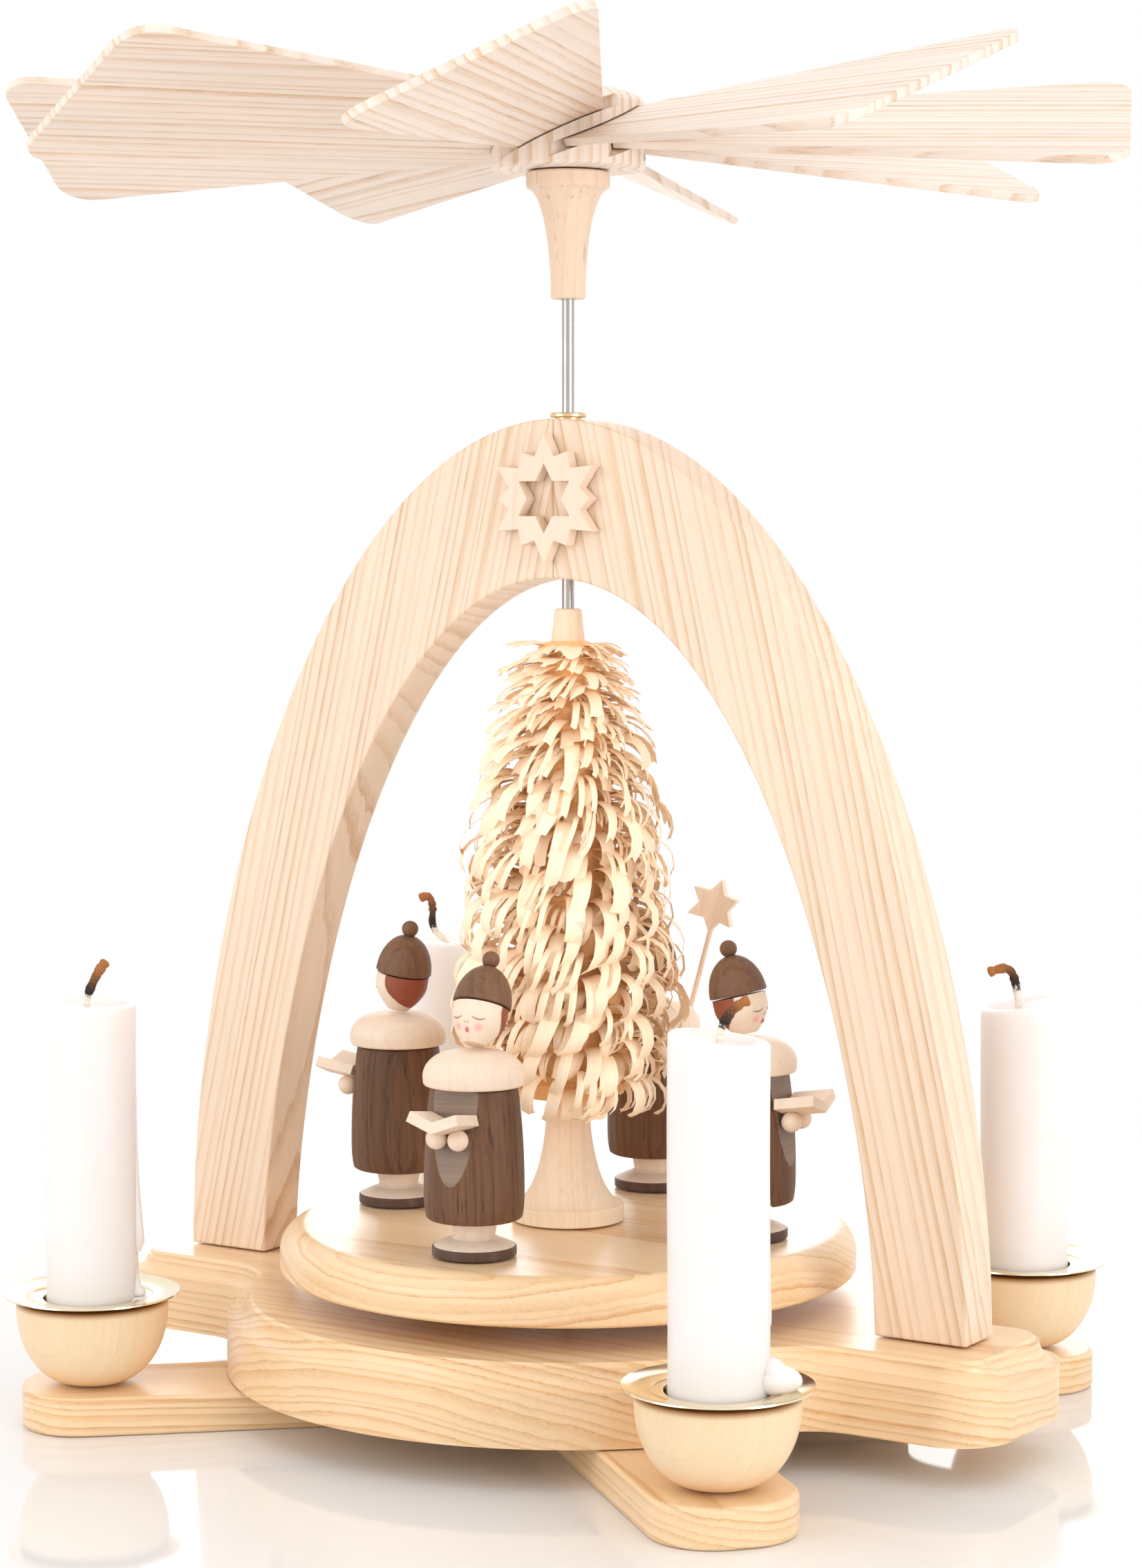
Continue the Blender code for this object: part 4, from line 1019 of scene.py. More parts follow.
@dataclass(frozen=True)
class Char:
    """A wick: waxed cotton at its foot, charred above, with a browner tip."""

    cotton: Colour = (0.85, 0.78, 0.66)
    char: Colour = (0.020, 0.012, 0.009)
    ember: Colour = (0.40, 0.145, 0.038)
    charred: Point = (0.30, 0.38)
    browned: Point = (0.40, 0.90)
    speck_scale: float = 2600.0
    ragged: float = 0.3
    roughness: float = 0.85
    depth: float = 0.15 * MM

    def material(self, name: str) -> Material:
        """Make the wick's material from the length attribute of its rod.

        Args:
            name: Name of the material.

        Returns:
            The material.
        """
        graph = Graph.of(name)
        speck = graph.noise(graph.place(), self.speck_scale, 3.0)
        drift = graph.plus(graph.attribute("along"), graph.centred(speck, self.ragged))
        colour = graph.mix(graph.remap(drift, *self.charred), self.cotton, self.char)
        colour = graph.mix(graph.remap(drift, *self.browned), colour, self.ember)
        return graph.finish(Base_Color=colour, Roughness=self.roughness, Normal=graph.bump(speck, self.depth))


@dataclass(frozen=True)
class Shaving:
    """Thin shavings of linden with fibres along each one, with painted shade and glow: deep orange at the
    roots inside the tree, paler towards the tips.
    """

    # Painted shade and glow: inner is the deep orange at the roots, where the tree is shaded and lit through
    # the shavings; outer is the paler tip.
    outer: Colour = (1.0, 0.80, 0.58)
    inner: Colour = (1.0, 0.64, 0.34)
    painted_shade_span: Point = (0.1, 0.6)
    fibre_scale: Triple = (11.0, 1.1, 0.0)
    fibre: float = 0.30
    apart: float = 900.0
    roughness: float = 0.55
    depth: float = 0.05 * MM

    def material(self, name: str) -> Material:
        """Make the shavings' material, which follows the ribbons' own map.

        Args:
            name: Name of the material.

        Returns:
            The material.
        """
        graph = Graph.of(name)
        ribbon = graph.node("ShaderNodeUVMap", {}, uv_map="ribbon").outputs[0]
        shift = graph.times(graph.attribute("tone"), self.apart)
        strip = graph.node("ShaderNodeCombineXYZ", {2: shift}).outputs[0]
        streaks = graph.vector("MULTIPLY_ADD", ribbon, self.fibre_scale)
        graph.feed(streaks.node.inputs[2], strip)
        fibres = graph.noise(streaks, 1.0, 3.0)
        # Painted shade and glow: the colour runs from inner at the root to outer at the tip, along the
        # ribbon.
        colour = graph.mix(graph.remap(graph.axis(ribbon, "Y"), *self.painted_shade_span), self.inner, self.outer)
        tone = graph.plus(graph.times(fibres, self.fibre), graph.attribute("tone"))
        grey = graph.node("ShaderNodeCombineColor", {0: tone, 1: tone, 2: tone})
        colour = graph.mix(1.0, colour, grey.outputs[0], "MULTIPLY")
        return graph.finish(Base_Color=colour, Roughness=self.roughness,
                            Normal=graph.bump(fibres, self.depth))


@dataclass(frozen=True)
class Paint:
    """Thin matt paint, brushed on by hand."""

    colour: Colour
    shade: Colour
    brush_scale: float = 2200.0
    roughness: float = 0.5
    depth: float = 0.01 * MM

    def material(self, name: str) -> Material:
        """Make the paint.

        Args:
            name: Name of the material.

        Returns:
            The material.
        """
        graph = Graph.of(name)
        brush = graph.noise(graph.place(), self.brush_scale)
        return graph.finish(Base_Color=graph.mix(brush, self.colour, self.shade), Roughness=self.roughness,
                            Normal=graph.bump(brush, self.depth))


LASH = Paint(colour=(0.24, 0.13, 0.075), shade=(0.36, 0.21, 0.13))
LIP = Paint(colour=(0.62, 0.13, 0.16), shade=(0.70, 0.22, 0.24))


@dataclass(frozen=True)
class Face:
    """A doll's head: bare maple with painted hair at the back and rouge on the cheeks."""

    wood: Wood = DOLL_MAPLE
    hair: Colour = (0.29, 0.066, 0.026)
    hair_width: float = 104.0
    hair_depth: float = 0.88
    hair_round: Point = (2.0, 2.4)
    hair_edge: Point = (1.0, 1.07)
    brush_scale: float = 900.0
    brush: float = 0.08
    rouge: Colour = (0.86, 0.40, 0.36)
    rouge_radius: float = 1.15 * MM
    rouge_core: float = 0.25
    rouge_cover: float = 0.75

    def material(self, name: str, frame: Matrix, tall: float, cheeks: Sequence[Vector]) -> Material:
        """Make the head's material.

        Args:
            name: Name of the material.
            frame: The head's frame, +X to the front and +Z up.
            tall: Height of the head.
            cheeks: Middles of the cheeks, in the object's frame.

        Returns:
            The material.
        """
        graph = Graph.of(name)
        grain = Grain(frame.translation, across=frame.to_3x3() @ NORTH, pith=(0.05, 0.02))
        colour, height = self.wood.colour(graph, grain)
        local = graph.place(frame.translation, tuple(frame.to_euler()))
        aside = graph.math("ARCTAN2", graph.math("ABSOLUTE", graph.axis(local, "Y")),
                           graph.times(graph.axis(local, "X"), -1.0))
        wide = graph.math("DIVIDE", aside, math.radians(self.hair_width))
        fallen = graph.minus(tall, graph.axis(local, "Z"))
        deep = graph.math("DIVIDE", fallen, self.hair_depth * tall)
        edge = graph.plus(graph.math("POWER", wide, self.hair_round[0]),
                          graph.math("POWER", deep, self.hair_round[1]))
        edge = graph.plus(edge, graph.times(graph.noise(local, self.brush_scale), self.brush))
        world = graph.place()
        for cheek in cheeks:
            away = graph.length(graph.vector("SUBTRACT", world, tuple(cheek)))
            rouge = graph.remap(away, self.rouge_core * self.rouge_radius, self.rouge_radius,
                                self.rouge_cover, 0.0)
            colour = graph.mix(rouge, colour, self.rouge)
        colour = graph.mix(graph.remap(edge, *self.hair_edge, 1.0, 0.0), colour, self.hair)
        return graph.finish(Base_Color=colour, Roughness=self.wood.roughness,
                            Normal=graph.bump(height, self.wood.depth))


# The fixed frame

@dataclass
class FootBars:
    """Two crossed bars with round ends, half-lapped in the middle."""

    width: float = 26.0 * MM
    overhang: float = 13.0 * MM
    corner: float = 11.0 * MM
    edge: float = 0.9 * MM
    pith: Triple = (0.10, 0.02, 0.008)

    def build(self) -> None:
        """Build and dress both bars."""
        cup = Span.of("candle_cup_back_right").centre
        angle = math.degrees(math.atan2(cup.y, cup.x))
        half = math.hypot(cup.x, cup.y) + self.overhang
        side = self.width / 2
        corners = [(half, -side), (half, side), (-half, side), (-half, -side)]
        outline = rounded(corners, [self.corner] * 4, steps=14)
        lap = side + GAP
        for node, sign in (("foot_bar_1", 1), ("foot_bar_2", -1)):
            span = Span.of(node)
            middle = span.centre.z
            bar = Shape.plate([outline], span.size.z).soften(self.edge)
            bar.placed(move(z=middle) @ turn(sign * angle))
            low = middle - GAP / 2 if sign > 0 else span.low.z - self.width
            high = span.high.z + self.width if sign > 0 else middle + GAP / 2
            notch = Shape.block(Vector((-2 * self.width, -lap, low)), Vector((2 * self.width, lap, high)))
            bar.carved([notch.placed(turn(-sign * angle))])
            grain = Grain(UP * middle, along=turn(sign * angle).to_3x3() @ EAST, across=UP,
                          pith=(self.pith[0] + self.pith[1] * sign, self.pith[2] * sign))
            bar.dressed(node, [ASH.material(f"{node}_ash", grain)], BASE, "ash")


@dataclass
class BasePlate:
    """A disc with two lobes, a cove and a low riser round its upper edge."""

    lobe_width: float = 39.0 * MM
    lobe_corner: float = 11.0 * MM
    fillet: float = 13.0 * MM
    cove: Point = (3.6 * MM, 3.4 * MM)
    ledge: float = 0.6 * MM
    riser: float = 0.8 * MM
    riser_lean: float = 0.1 * MM
    edge: float = 0.5 * MM
    screw_radius: float = 1.8 * MM
    screw_head: float = 3.3 * MM
    screw_sink: float = 2.3 * MM
    screw_brim: float = 4 * GAP
    arc_steps: int = 14
    cove_steps: int = 9

    def outline(self, span: Span) -> list[Point]:
        """Draw the plan: disc, lobes, and fillets where they meet.

        Args:
            span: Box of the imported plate.

        Returns:
            The closed outline.
        """
        radius = span.size.y / 2
        half = self.lobe_width / 2
        fillet_y = half + self.fillet
        fillet_x = math.sqrt((radius + self.fillet) ** 2 - fillet_y ** 2)
        meet = math.degrees(math.atan2(fillet_y, fillet_x))
        corner = (span.high.x - self.lobe_corner, half - self.lobe_corner)
        quarter = arc(corner, self.lobe_corner, 0.0, 90.0, self.arc_steps)
        quarter += arc((fillet_x, fillet_y), self.fillet, 270.0, 180.0 + meet, self.arc_steps)
        quarter += arc((0.0, 0.0), radius, meet, 90.0, 2 * self.arc_steps)[1:]
        half_plan = quarter + [(-x, y) for x, y in reversed(quarter[:-1])]
        return half_plan + [(-x, -y) for x, y in half_plan]

    def build(self) -> None:
        """Build and dress the plate, bored for the pivot and the two screws."""
        span = Span.of("base_plate")
        side = span.size.z - self.cove[1] - self.riser
        plate = Shape.plate([self.outline(span)], side).placed(move(z=span.low.z + side / 2))
        top = max(plate.bm.faces, key=lambda face: face.calc_center_median().z)
        section = ellipse((0.0, self.cove[1]), self.cove, -90.0, 0.0, self.cove_steps)
        ledge = self.cove[0] + self.ledge
        section += [(ledge, self.cove[1]),
                    (ledge + self.riser_lean, self.cove[1] + self.riser - self.edge),
                    (ledge + self.edge, self.cove[1] + self.riser)]
        for (inset, height), (next_inset, next_height) in zip(section, section[1:]):
            bmesh.ops.inset_region(plate.bm, faces=[top], thickness=next_inset - inset,
                                   depth=next_height - height, use_even_offset=True, use_boundary=True)
        pivot = Span.of("pivot_cup")
        tools = [Shape.bore(pivot.radius + GAP, pivot.low.z - GAP, span.high.z + OVER, segments=48)]
        low = span.low.z - GAP
        profile = [(0.0, span.high.z + OVER), (self.screw_radius, span.high.z + OVER),
                   (self.screw_radius, low + self.screw_sink + GAP), (self.screw_head, low + self.screw_brim),
                   (self.screw_head, low), (0.0, low)]
        for node in ("arch_screw_left", "arch_screw_right"):
            tools.append(Shape.turned(profile, segments=32).placed(move(Span.of(node).centre.x)))
        grain = Grain(span.centre, along=EAST, across=UP + NORTH * 0.12, pith=(0.11, 0.006))
        plate.carved(tools).dressed("base_plate", [ASH.material("base_plate_ash", grain)], BASE, "ash",
                                    Crease.MOULDED)


@dataclass
class Arch:
    """Two mirrored halves glued at the crown, with a star on the front."""

    leg_width: float = 18.2 * MM
    crown_depth: float = 29.5 * MM
    outer_shape: Point = (1.97, 1.79)
    inner_shape: Point = (2.06, 1.62)
    steps: int = 72
    edge: float = 0.5 * MM
    slant: float = 13.0
    pith: Point = (0.30, 0.05)
    seam: float = 0.01 * MM
    bore: float = 2.0 * MM
    seat: float = 2.8 * MM
    screw_hole: float = 1.8 * MM
    star_points: Row = (12.1 * MM, 8.0 * MM, 10.0 * MM, 8.0 * MM)
    star_hole: Point = (6.4 * MM, 3.7 * MM)
    star_edge: float = 0.12 * MM

    def curve(self, half_span: float, rise: float, shape: Point) -> list[Point]:
        """Draw one edge of the right half from the foot of the leg to the crown.

        Args:
            half_span: Distance of the foot from the middle.
            rise: Height of the crown.
            shape: Powers of the curve across and up, where 2 and 2 give an ellipse.

        Returns:
            The points in order.
        """
        points = []
        for i in range(self.steps + 1):
            angle = math.pi / 2 * i / self.steps
            x = half_span * max(math.cos(angle), 0.0) ** (2 / shape[0])
            points.append((max(x, self.seam), rise * math.sin(angle) ** (2 / shape[1])))
        return points

    def build(self) -> None:
        """Build and dress both halves and the star."""
        for node, sign in (("arch_left", -1), ("arch_right", 1)):
            span = Span.of(node)
            half_span = max(abs(span.low.x), abs(span.high.x))
            outer = self.curve(half_span, span.size.z, self.outer_shape)
            inner = self.curve(half_span - self.leg_width, span.size.z - self.crown_depth, self.inner_shape)
            sides = [[(sign * x, z) for x, z in side] for side in (outer, inner)]
            half = Shape.strip(*sides, span.size.y).soften(self.edge, segments=3, angle=40.0)
            half.placed(move(z=span.low.z) @ turn(90.0, "X"))
            half.carved(self.holes(span, node.replace("arch", "arch_screw")))
            grain = Grain(span.centre, along=turn(-sign * self.slant, "Y").to_3x3() @ UP,
                          across=EAST + NORTH * 0.35, pith=(self.pith[0] * sign, self.pith[1]))
            half.dressed(node, [ARCH_ASH.material(f"{node}_ash", grain)], BASE, "ash")
        self.build_star()

    def holes(self, span: Span, screw_node: str) -> list[Shape]:
        """Set out the bore of the crown, the seat of the bush and the hole for the screw.

        Args:
            span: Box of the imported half.
            screw_node: The screw in its leg.

        Returns:
            The shapes to cut out.
        """
        bush = Span.of("bearing_bush")
        screw = Span.of(screw_node)
        cuts = ((0.0, self.bore, span.high.z - 2 * self.crown_depth, span.high.z + OVER),
                (0.0, self.seat, bush.low.z - GAP, span.high.z + OVER),
                (screw.centre.x, self.screw_hole, span.low.z - OVER, screw.high.z + GAP))
        return [Shape.bore(radius, low, high, segments=40).placed(move(x)) for x, radius, low, high in cuts]

    def build_star(self) -> None:
        """Build and dress the flat star with its star-shaped cut-out."""
        span = Span.of("arch_star")
        plate = Shape.plate([star(self.star_points, 6), star(self.star_hole, 6)], span.size.y)
        plate.soften(self.star_edge, segments=2).placed(move(*span.centre) @ turn(90.0, "X"))
        grain = Grain(span.centre, along=UP + EAST * 0.1, pith=(0.08, 0.02))
        maple = DOLL_MAPLE.material("arch_star_maple", grain)
        plate.dressed("arch_star", [maple], BASE, "maple", Crease.CRISP)


@dataclass
class Bearings:
    """The flanged bush in the crown, and the hidden cup and screws."""

    flange_radius: float = 3.4 * MM
    flange: float = 0.9 * MM
    edge: float = 0.2 * MM
    bore: float = 1.45 * MM
    sleeve: float = 2.5 * MM

    def build(self, nodes: dict[str, bpy.types.Object]) -> None:
        """Build the bush and dress the pieces that stay as they were packed.

        Args:
            nodes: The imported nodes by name.
        """
        span = Span.of("bearing_bush")
        top, low = span.high.z, span.high.z - self.flange
        profile = [(self.bore, top), (self.flange_radius - self.edge, top),
                   (self.flange_radius, top - self.edge), (self.flange_radius, low + self.edge),
                   (self.flange_radius - self.edge, low), (self.sleeve, low), (self.sleeve, span.low.z),
                   (self.bore, span.low.z)]
        bush = Shape.turned(profile, segments=64, closed=True)
        bush.dressed("bearing_bush", [DULL_BRASS.material("bush_brass", span.centre)], BASE, "brass",
                     Crease.CRISP)
        metals = {"pivot_cup": DULL_BRASS, "arch_screw_left": STEEL, "arch_screw_right": STEEL}
        for node, metal in metals.items():
            nodes[node].data.materials.clear()
            nodes[node].data.materials.append(metal.material(f"{node}_metal", Span.of(node).centre))


# Candle places

@dataclass(frozen=True)
class Drop:
    """Wax that ran down a candle and set: its bearing in degrees, the rest in millimetres."""

    angle: float
    height: float
    away: float
    reach: float
    breadth: float
    tall: float

    def shape(self, bearing: float) -> Shape:
        """Make the drop.

        Args:
            bearing: Direction that counts as zero degrees.

        Returns:
            The drop on a candle that stands at the origin.
        """
        ball = Shape.ball(1.0, segments=24)
        size = (self.reach * MM, self.breadth * MM, self.tall * MM)
        bmesh.ops.scale(ball.bm, vec=size, verts=ball.bm.verts)
        return ball.placed(turn(bearing + self.angle) @ move(self.away * MM, z=self.height * MM))


@dataclass(frozen=True)
class Run:
    """Wax that ran down a candle's side and ends in a bead; degrees and millimetres."""

    angle: float
    high: float
    low: float
    proud: float
    start: float = 0.08
    swell: float = 2.2
    thick: Point = (0.55, 0.35)
    bulge: float = 0.3
    ends: tuple[tuple[int, float, float], ...] = ((1, 0.92, 0.0), (0, 0.5, 0.25))
    steps: int = 16

    def shape(self, bearing: float, radius: float) -> Shape:
        """Draw the run.

        Args:
            bearing: Direction that counts as zero degrees.
            radius: Radius of the candle.

        Returns:
            The run on a candle that stands at the origin.
        """
        out = turn(bearing + self.angle).to_3x3() @ EAST
        path = []
        radii = []
        for i in range(self.steps + 1):
            share = i / self.steps
            proud = self.proud * MM * (self.start + (1 - self.start) * share ** self.swell)
            thick = (self.thick[0] + self.thick[1] * share) * MM + self.bulge * proud
            path.append(out * (radius + proud - thick) + UP * lerp(self.high, self.low, share) * MM)
            radii.append(thick)
        for back, shrink, drop in self.ends:
            radii[self.steps - back] *= shrink
            path[self.steps - back] -= out * (drop * MM)
        return Shape.tube(path, radii, sides=16)


@dataclass(frozen=True)
class CandleLook:
    """How one candle has burnt: its wick seen from the front, its slanted rim and its drops of wax."""

    wick: Line
    rim_tilt: float
    rim_angle: float
    drops: tuple[Drop, ...] = ()
    runs: tuple[Run, ...] = ()


CANDLE_LOOKS = {
    Place.FRONT_RIGHT: CandleLook(
        ((0.0, -0.8), (0.1, 1.2), (0.7, 3.2), (2.0, 5.2), (3.5, 6.5), (4.9, 7.2)), 1.0, 175.0,
        (Drop(-8.0, 12.3, 9.2, 4.8, 3.4, 2.6), Drop(-9.0, 13.9, 8.7, 2.6, 2.6, 2.1),
         Drop(4.0, 40.3, 8.3, 0.75, 0.9, 0.8)),
        (Run(3.0, 42.0, 20.0, 0.45),)),
    Place.FRONT_LEFT: CandleLook(
        ((-0.6, -1.2), (-0.4, 1.0), (-0.1, 2.6), (0.9, 4.9), (2.0, 6.9), (3.2, 8.5)), 0.35, 180.0,
        (Drop(-8.0, 9.6, 9.0, 2.9, 2.8, 1.1),),
        (Run(-4.0, 48.0, 18.8, 1.7), Run(-8.0, 16.0, 10.6, 2.2))),
    Place.BACK_RIGHT: CandleLook(
        ((-1.3, -1.2), (-1.4, 0.8), (-1.6, 2.7), (-2.1, 5.0), (-2.8, 6.8), (-4.0, 7.5), (-5.6, 7.3),
         (-7.3, 6.7)), 1.2, 0.0,
        (Drop(150.0, 10.0, 9.2, 2.2, 2.4, 1.8), Drop(60.0, 9.1, 8.6, 1.4, 3.6, 0.9))),
    Place.BACK_LEFT: CandleLook(
        ((0.0, -1.2), (-1.6, 0.8), (-3.4, 2.6), (-4.1, 4.5), (-4.0, 7.2), (-4.4, 9.3), (-5.4, 10.0),
         (-6.8, 9.5)), 0.3, 40.0,
        (Drop(200.0, 10.0, 9.2, 2.2, 2.2, 1.8),),
        (Run(70.0, 34.0, 16.0, 1.0),)),
}


@dataclass
class CandlePlace:
    """A turned cup, its brass dish, and a candle that lifts out."""

    place: Place
    view_right: Vector
    flat_radius: float = 4.0 * MM
    rim: float = 1.6 * MM
    rim_round: float = 0.5 * MM
    socket: float = 9.5 * MM
    socket_depth: float = 10.2 * MM
    clearance: float = 0.12 * MM
    well: float = 11.0 * MM
    step: float = 0.35 * MM
    step_ease: Point = (0.4, 0.25)
    sheet: float = 0.3 * MM
    flare: float = 2.2
    flare_steps: Row = (1.0, 0.93, 0.85, 0.75, 0.62, 0.48, 0.34, 0.2, 0.08, 0.0)
    sleeve: float = 9.0 * MM
    throat: Line = ((0.4, 0.0), (0.1, -0.12), (0.0, -0.5))
    pool: float = 1.5 * MM
    pool_steps: Row = (0.2, 0.4, 0.6, 0.8, 0.92)
    rim_width: float = 1.3 * MM
    rim_height: float = 0.6 * MM
    foot_edge: float = 0.4 * MM
    slanted: Point = (0.8, 0.2)
    uneven: Triple = (0.012, 3.0, 90.0)
    wick_height: float = 8.0 * MM
    wick_seat: float = 0.5 * MM
    wick_radius: float = 0.85 * MM
    wick_taper: Point = (0.7, 1.1)
    wick_wobble: float = 0.2
    wick_tip: float = 0.7
    segments: int = 72
    rings: int = 60

    def build(self) -> None:
        """Build and dress the cup, the dish, the candle and its wick."""
        cup = f"candle_cup_{self.place.value}"
        self.build_cup(cup)
        self.build_dish(Span.of(cup).high.z)
        self.build_candle()

    def build_cup(self, node: str) -> None:
        """Turn the bowl-shaped cup.

        Args:
            node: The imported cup.
        """
        span = Span.of(node)
        height, radius = span.size.z, span.radius
        floor = height - self.socket_depth
        bowl = height - self.rim
        profile = [(0.0, floor), (self.socket, floor), (self.socket, height)]
        profile += arc((radius - self.rim_round, height - self.rim_round), self.rim_round, 90.0, 0.0, 5)
        profile += ellipse((self.flat_radius, bowl), (radius - self.flat_radius, bowl), 0.0, -90.0, 26)
        profile.append((0.0, 0.0))
        cup = Shape.turned(profile, self.segments).placed(move(span.centre.x, span.centre.y, span.low.z))
        grain = Grain(span.centre, along=UP + EAST * 0.15, across=self.view_right + NORTH * 0.4,
                      pith=(0.06, 0.035))
        cup.dressed(node, [RimBandMaple().material(f"{node}_maple", grain, span.high.z)], BASE, "maple",
                    Crease.ROUND)

    def build_dish(self, cup_top: float) -> None:
        """Spin the thin dish: a flared rim, a step down to the well, and a sleeve.

        Args:
            cup_top: Height of the cup's upper edge.
        """
        node = f"drip_dish_{self.place.value}"
        span = Span.of(node)
        level = cup_top + self.clearance + self.sheet
        rise = span.high.z - self.sheet / 2 - level - self.step
        flare = span.radius - self.sheet / 2 - self.well - self.step
        profile = [(self.well + self.step + flare * share, level + self.step + rise * share ** self.flare)
                   for share in self.flare_steps]
        profile += [(self.well + self.step_ease[0] * self.step, level + self.step_ease[1] * self.step),
                    (self.well, level)]
        profile += [(self.sleeve + across * MM, level + up * MM) for across, up in self.throat]
        profile.append((self.sleeve, span.low.z + self.sheet))
        dish = Shape.turned(profile, self.segments)
        bmesh.ops.solidify(dish.bm, geom=dish.bm.faces[:], thickness=self.sheet)
        dish.placed(move(span.centre.x, span.centre.y))
        dish.dressed(node, [BRASS.material(f"{node}_brass", span.centre)], BASE, "brass", Crease.SHEET)

    def build_candle(self) -> None:
        """Make the candle with its burnt rim, its runs of wax and its wick, a body of its own."""
        node = f"candle_{self.place.value}"
        look = CANDLE_LOOKS[self.place]
        span = Span.of(node)
        height, radius = span.size.z - self.wick_height, span.radius
        inner = radius - self.rim_width
        profile = [(0.0, height - self.pool)]
        profile += [(inner * share, height - self.pool * (1 - share ** 3)) for share in self.pool_steps]
        profile += ellipse((inner, height - self.rim_height), (radius - inner, self.rim_height), 90.0, 0.0, 5)
        profile += [(radius, height * (1 - i / self.rings)) for i in range(1, self.rings)]
        profile += [(radius, self.foot_edge), (radius - self.foot_edge, 0.0), (0.0, 0.0)]
        right = math.degrees(math.atan2(self.view_right.y, self.view_right.x))

        def shift(point: Vector) -> Vector:
            """Find the slant of the rim and the slight unevenness of the side.

            Args:
                point: A point of the candle.

            Returns:
                How far it moves.
            """
            bearing = math.degrees(math.atan2(point.y, point.x)) - right
            upper = max(point.z / height - self.slanted[0], 0.0) / self.slanted[1]
            tilt = look.rim_tilt * MM * upper * math.cos(math.radians(bearing - look.rim_angle))
            share, lobes, twist = self.uneven
            swell = share * math.sin(lobes * math.radians(bearing) + twist * point.z)
            return UP * tilt + Vector((point.x, point.y, 0.0)) * swell

        where = move(span.centre.x, span.centre.y, span.low.z)
        wax = Shape.turned(profile, self.segments).pushed(shift).placed(where)
        wax.piece(f"{node}_wax", [Wax().material(f"{node}_white_wax")], node, "wax", [node], Crease.WAX)
        drips = Shape(bmesh.new())
        for drop in look.drops:
            drips.joined(drop.shape(right))
        for run in look.runs:
            drips.joined(run.shape(right, radius))
        set_wax = Wax(clear=0.0).material(f"{node}_set_wax")
        drips.placed(where).piece(f"{node}_drips", [set_wax], node, "wax", [node], Crease.WAX)
        top = span.low + Vector((span.size.x / 2, span.size.y / 2, height - self.pool + self.wick_seat))
        self.build_wick(node, top, look.wick)

    def build_wick(self, node: str, top: Vector, points: Line) -> None:
        """Bend the burnt wick.

        Args:
            node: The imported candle.
            top: Where the wick stands in the wax.
            points: Its bends to the right and up, in millimetres.
        """
        bends = smooth_path(points, steps=5)
        path = [top + (self.view_right * across + UP * up) * MM for across, up in bends]
        dice = random.Random(node)
        radii = []
        for i in range(len(path)):
            wobble = self.wick_wobble * dice.uniform(-1, 1)
            radii.append(self.wick_radius * (lerp(*self.wick_taper, i / len(path)) + wobble))
        radii[-1] *= self.wick_tip
        wick = Shape.tube(path, radii, sides=12)
        wick.piece(f"wick_{self.place.value}", [Char().material(f"{node}_char")], node, "wax")


# The rotor

@dataclass
class Carousel:
    """Shaft, turntable and tree trunk."""

    point: Point = (0.15 * MM, 2.5 * MM)
    edge: Point = (4.8 * MM, 5.0 * MM)
    foot_round: float = 0.8 * MM
    trunk_neck: float = 4.0 * MM
    trunk_rim: float = 3.2 * MM
    trunk_round: float = 0.3 * MM
    trunk_drop: float = 0.5 * MM
    bore: float = 1.45 * MM

    def build(self) -> None:
        """Build and dress the three pieces."""
        span = Span.of("shaft")
        profile = [(0.0, span.high.z), (span.radius, span.high.z), (span.radius, span.low.z + self.point[1]),
                   (self.point[0], span.low.z), (0.0, span.low.z)]
        steel = STEEL.material("shaft_steel", ORIGIN, spun=False)
        Shape.turned(profile, segments=40).dressed("shaft", [steel], ROTOR, "steel")
        self.build_turntable()
        self.build_trunk()

    def build_turntable(self) -> None:
        """Turn the table with its rounded upper edge."""
        span = Span.of("turntable")
        radius, top, low = span.radius, span.high.z, span.low.z
        profile = [(self.bore, low), (self.bore, top)]
        profile += ellipse((radius - self.edge[0], top - self.edge[1]), self.edge, 90.0, 0.0, 14)
        profile += arc((radius - self.foot_round, low + self.foot_round), self.foot_round, 0.0, -90.0, 5)
        grain = Grain(span.centre, along=EAST, across=UP + NORTH * 0.1, pith=(-0.10, 0.012))
        table = Shape.turned(profile, segments=160, closed=True)
        table.dressed("turntable", [ASH.material("turntable_ash", grain)], ROTOR, "ash", Crease.TURNED)

    def build_trunk(self) -> None:
        """Turn the trunk with its flared foot."""
        span = Span.of("tree_trunk")
        radius, low, edge = span.radius, span.low.z, self.trunk_round
        rise = span.size.z - self.trunk_rim
        profile = [(self.bore, low), (self.bore, span.high.z)]
        profile += ellipse((radius, span.high.z), (radius - self.trunk_neck, rise), 180.0, 268.0, 24)
        profile += arc((radius - edge, low + self.trunk_rim - self.trunk_drop), edge, 90.0, 0.0, 4)
        profile += arc((radius - edge, low + edge), edge, 0.0, -90.0, 4)
        linden = LINDEN.material("tree_trunk_linden", Grain(span.centre, pith=(0.05, 0.03)))
        trunk = Shape.turned(profile, segments=72, closed=True)
        trunk.dressed("tree_trunk", [linden], ROTOR, "linden", Crease.TURNED)


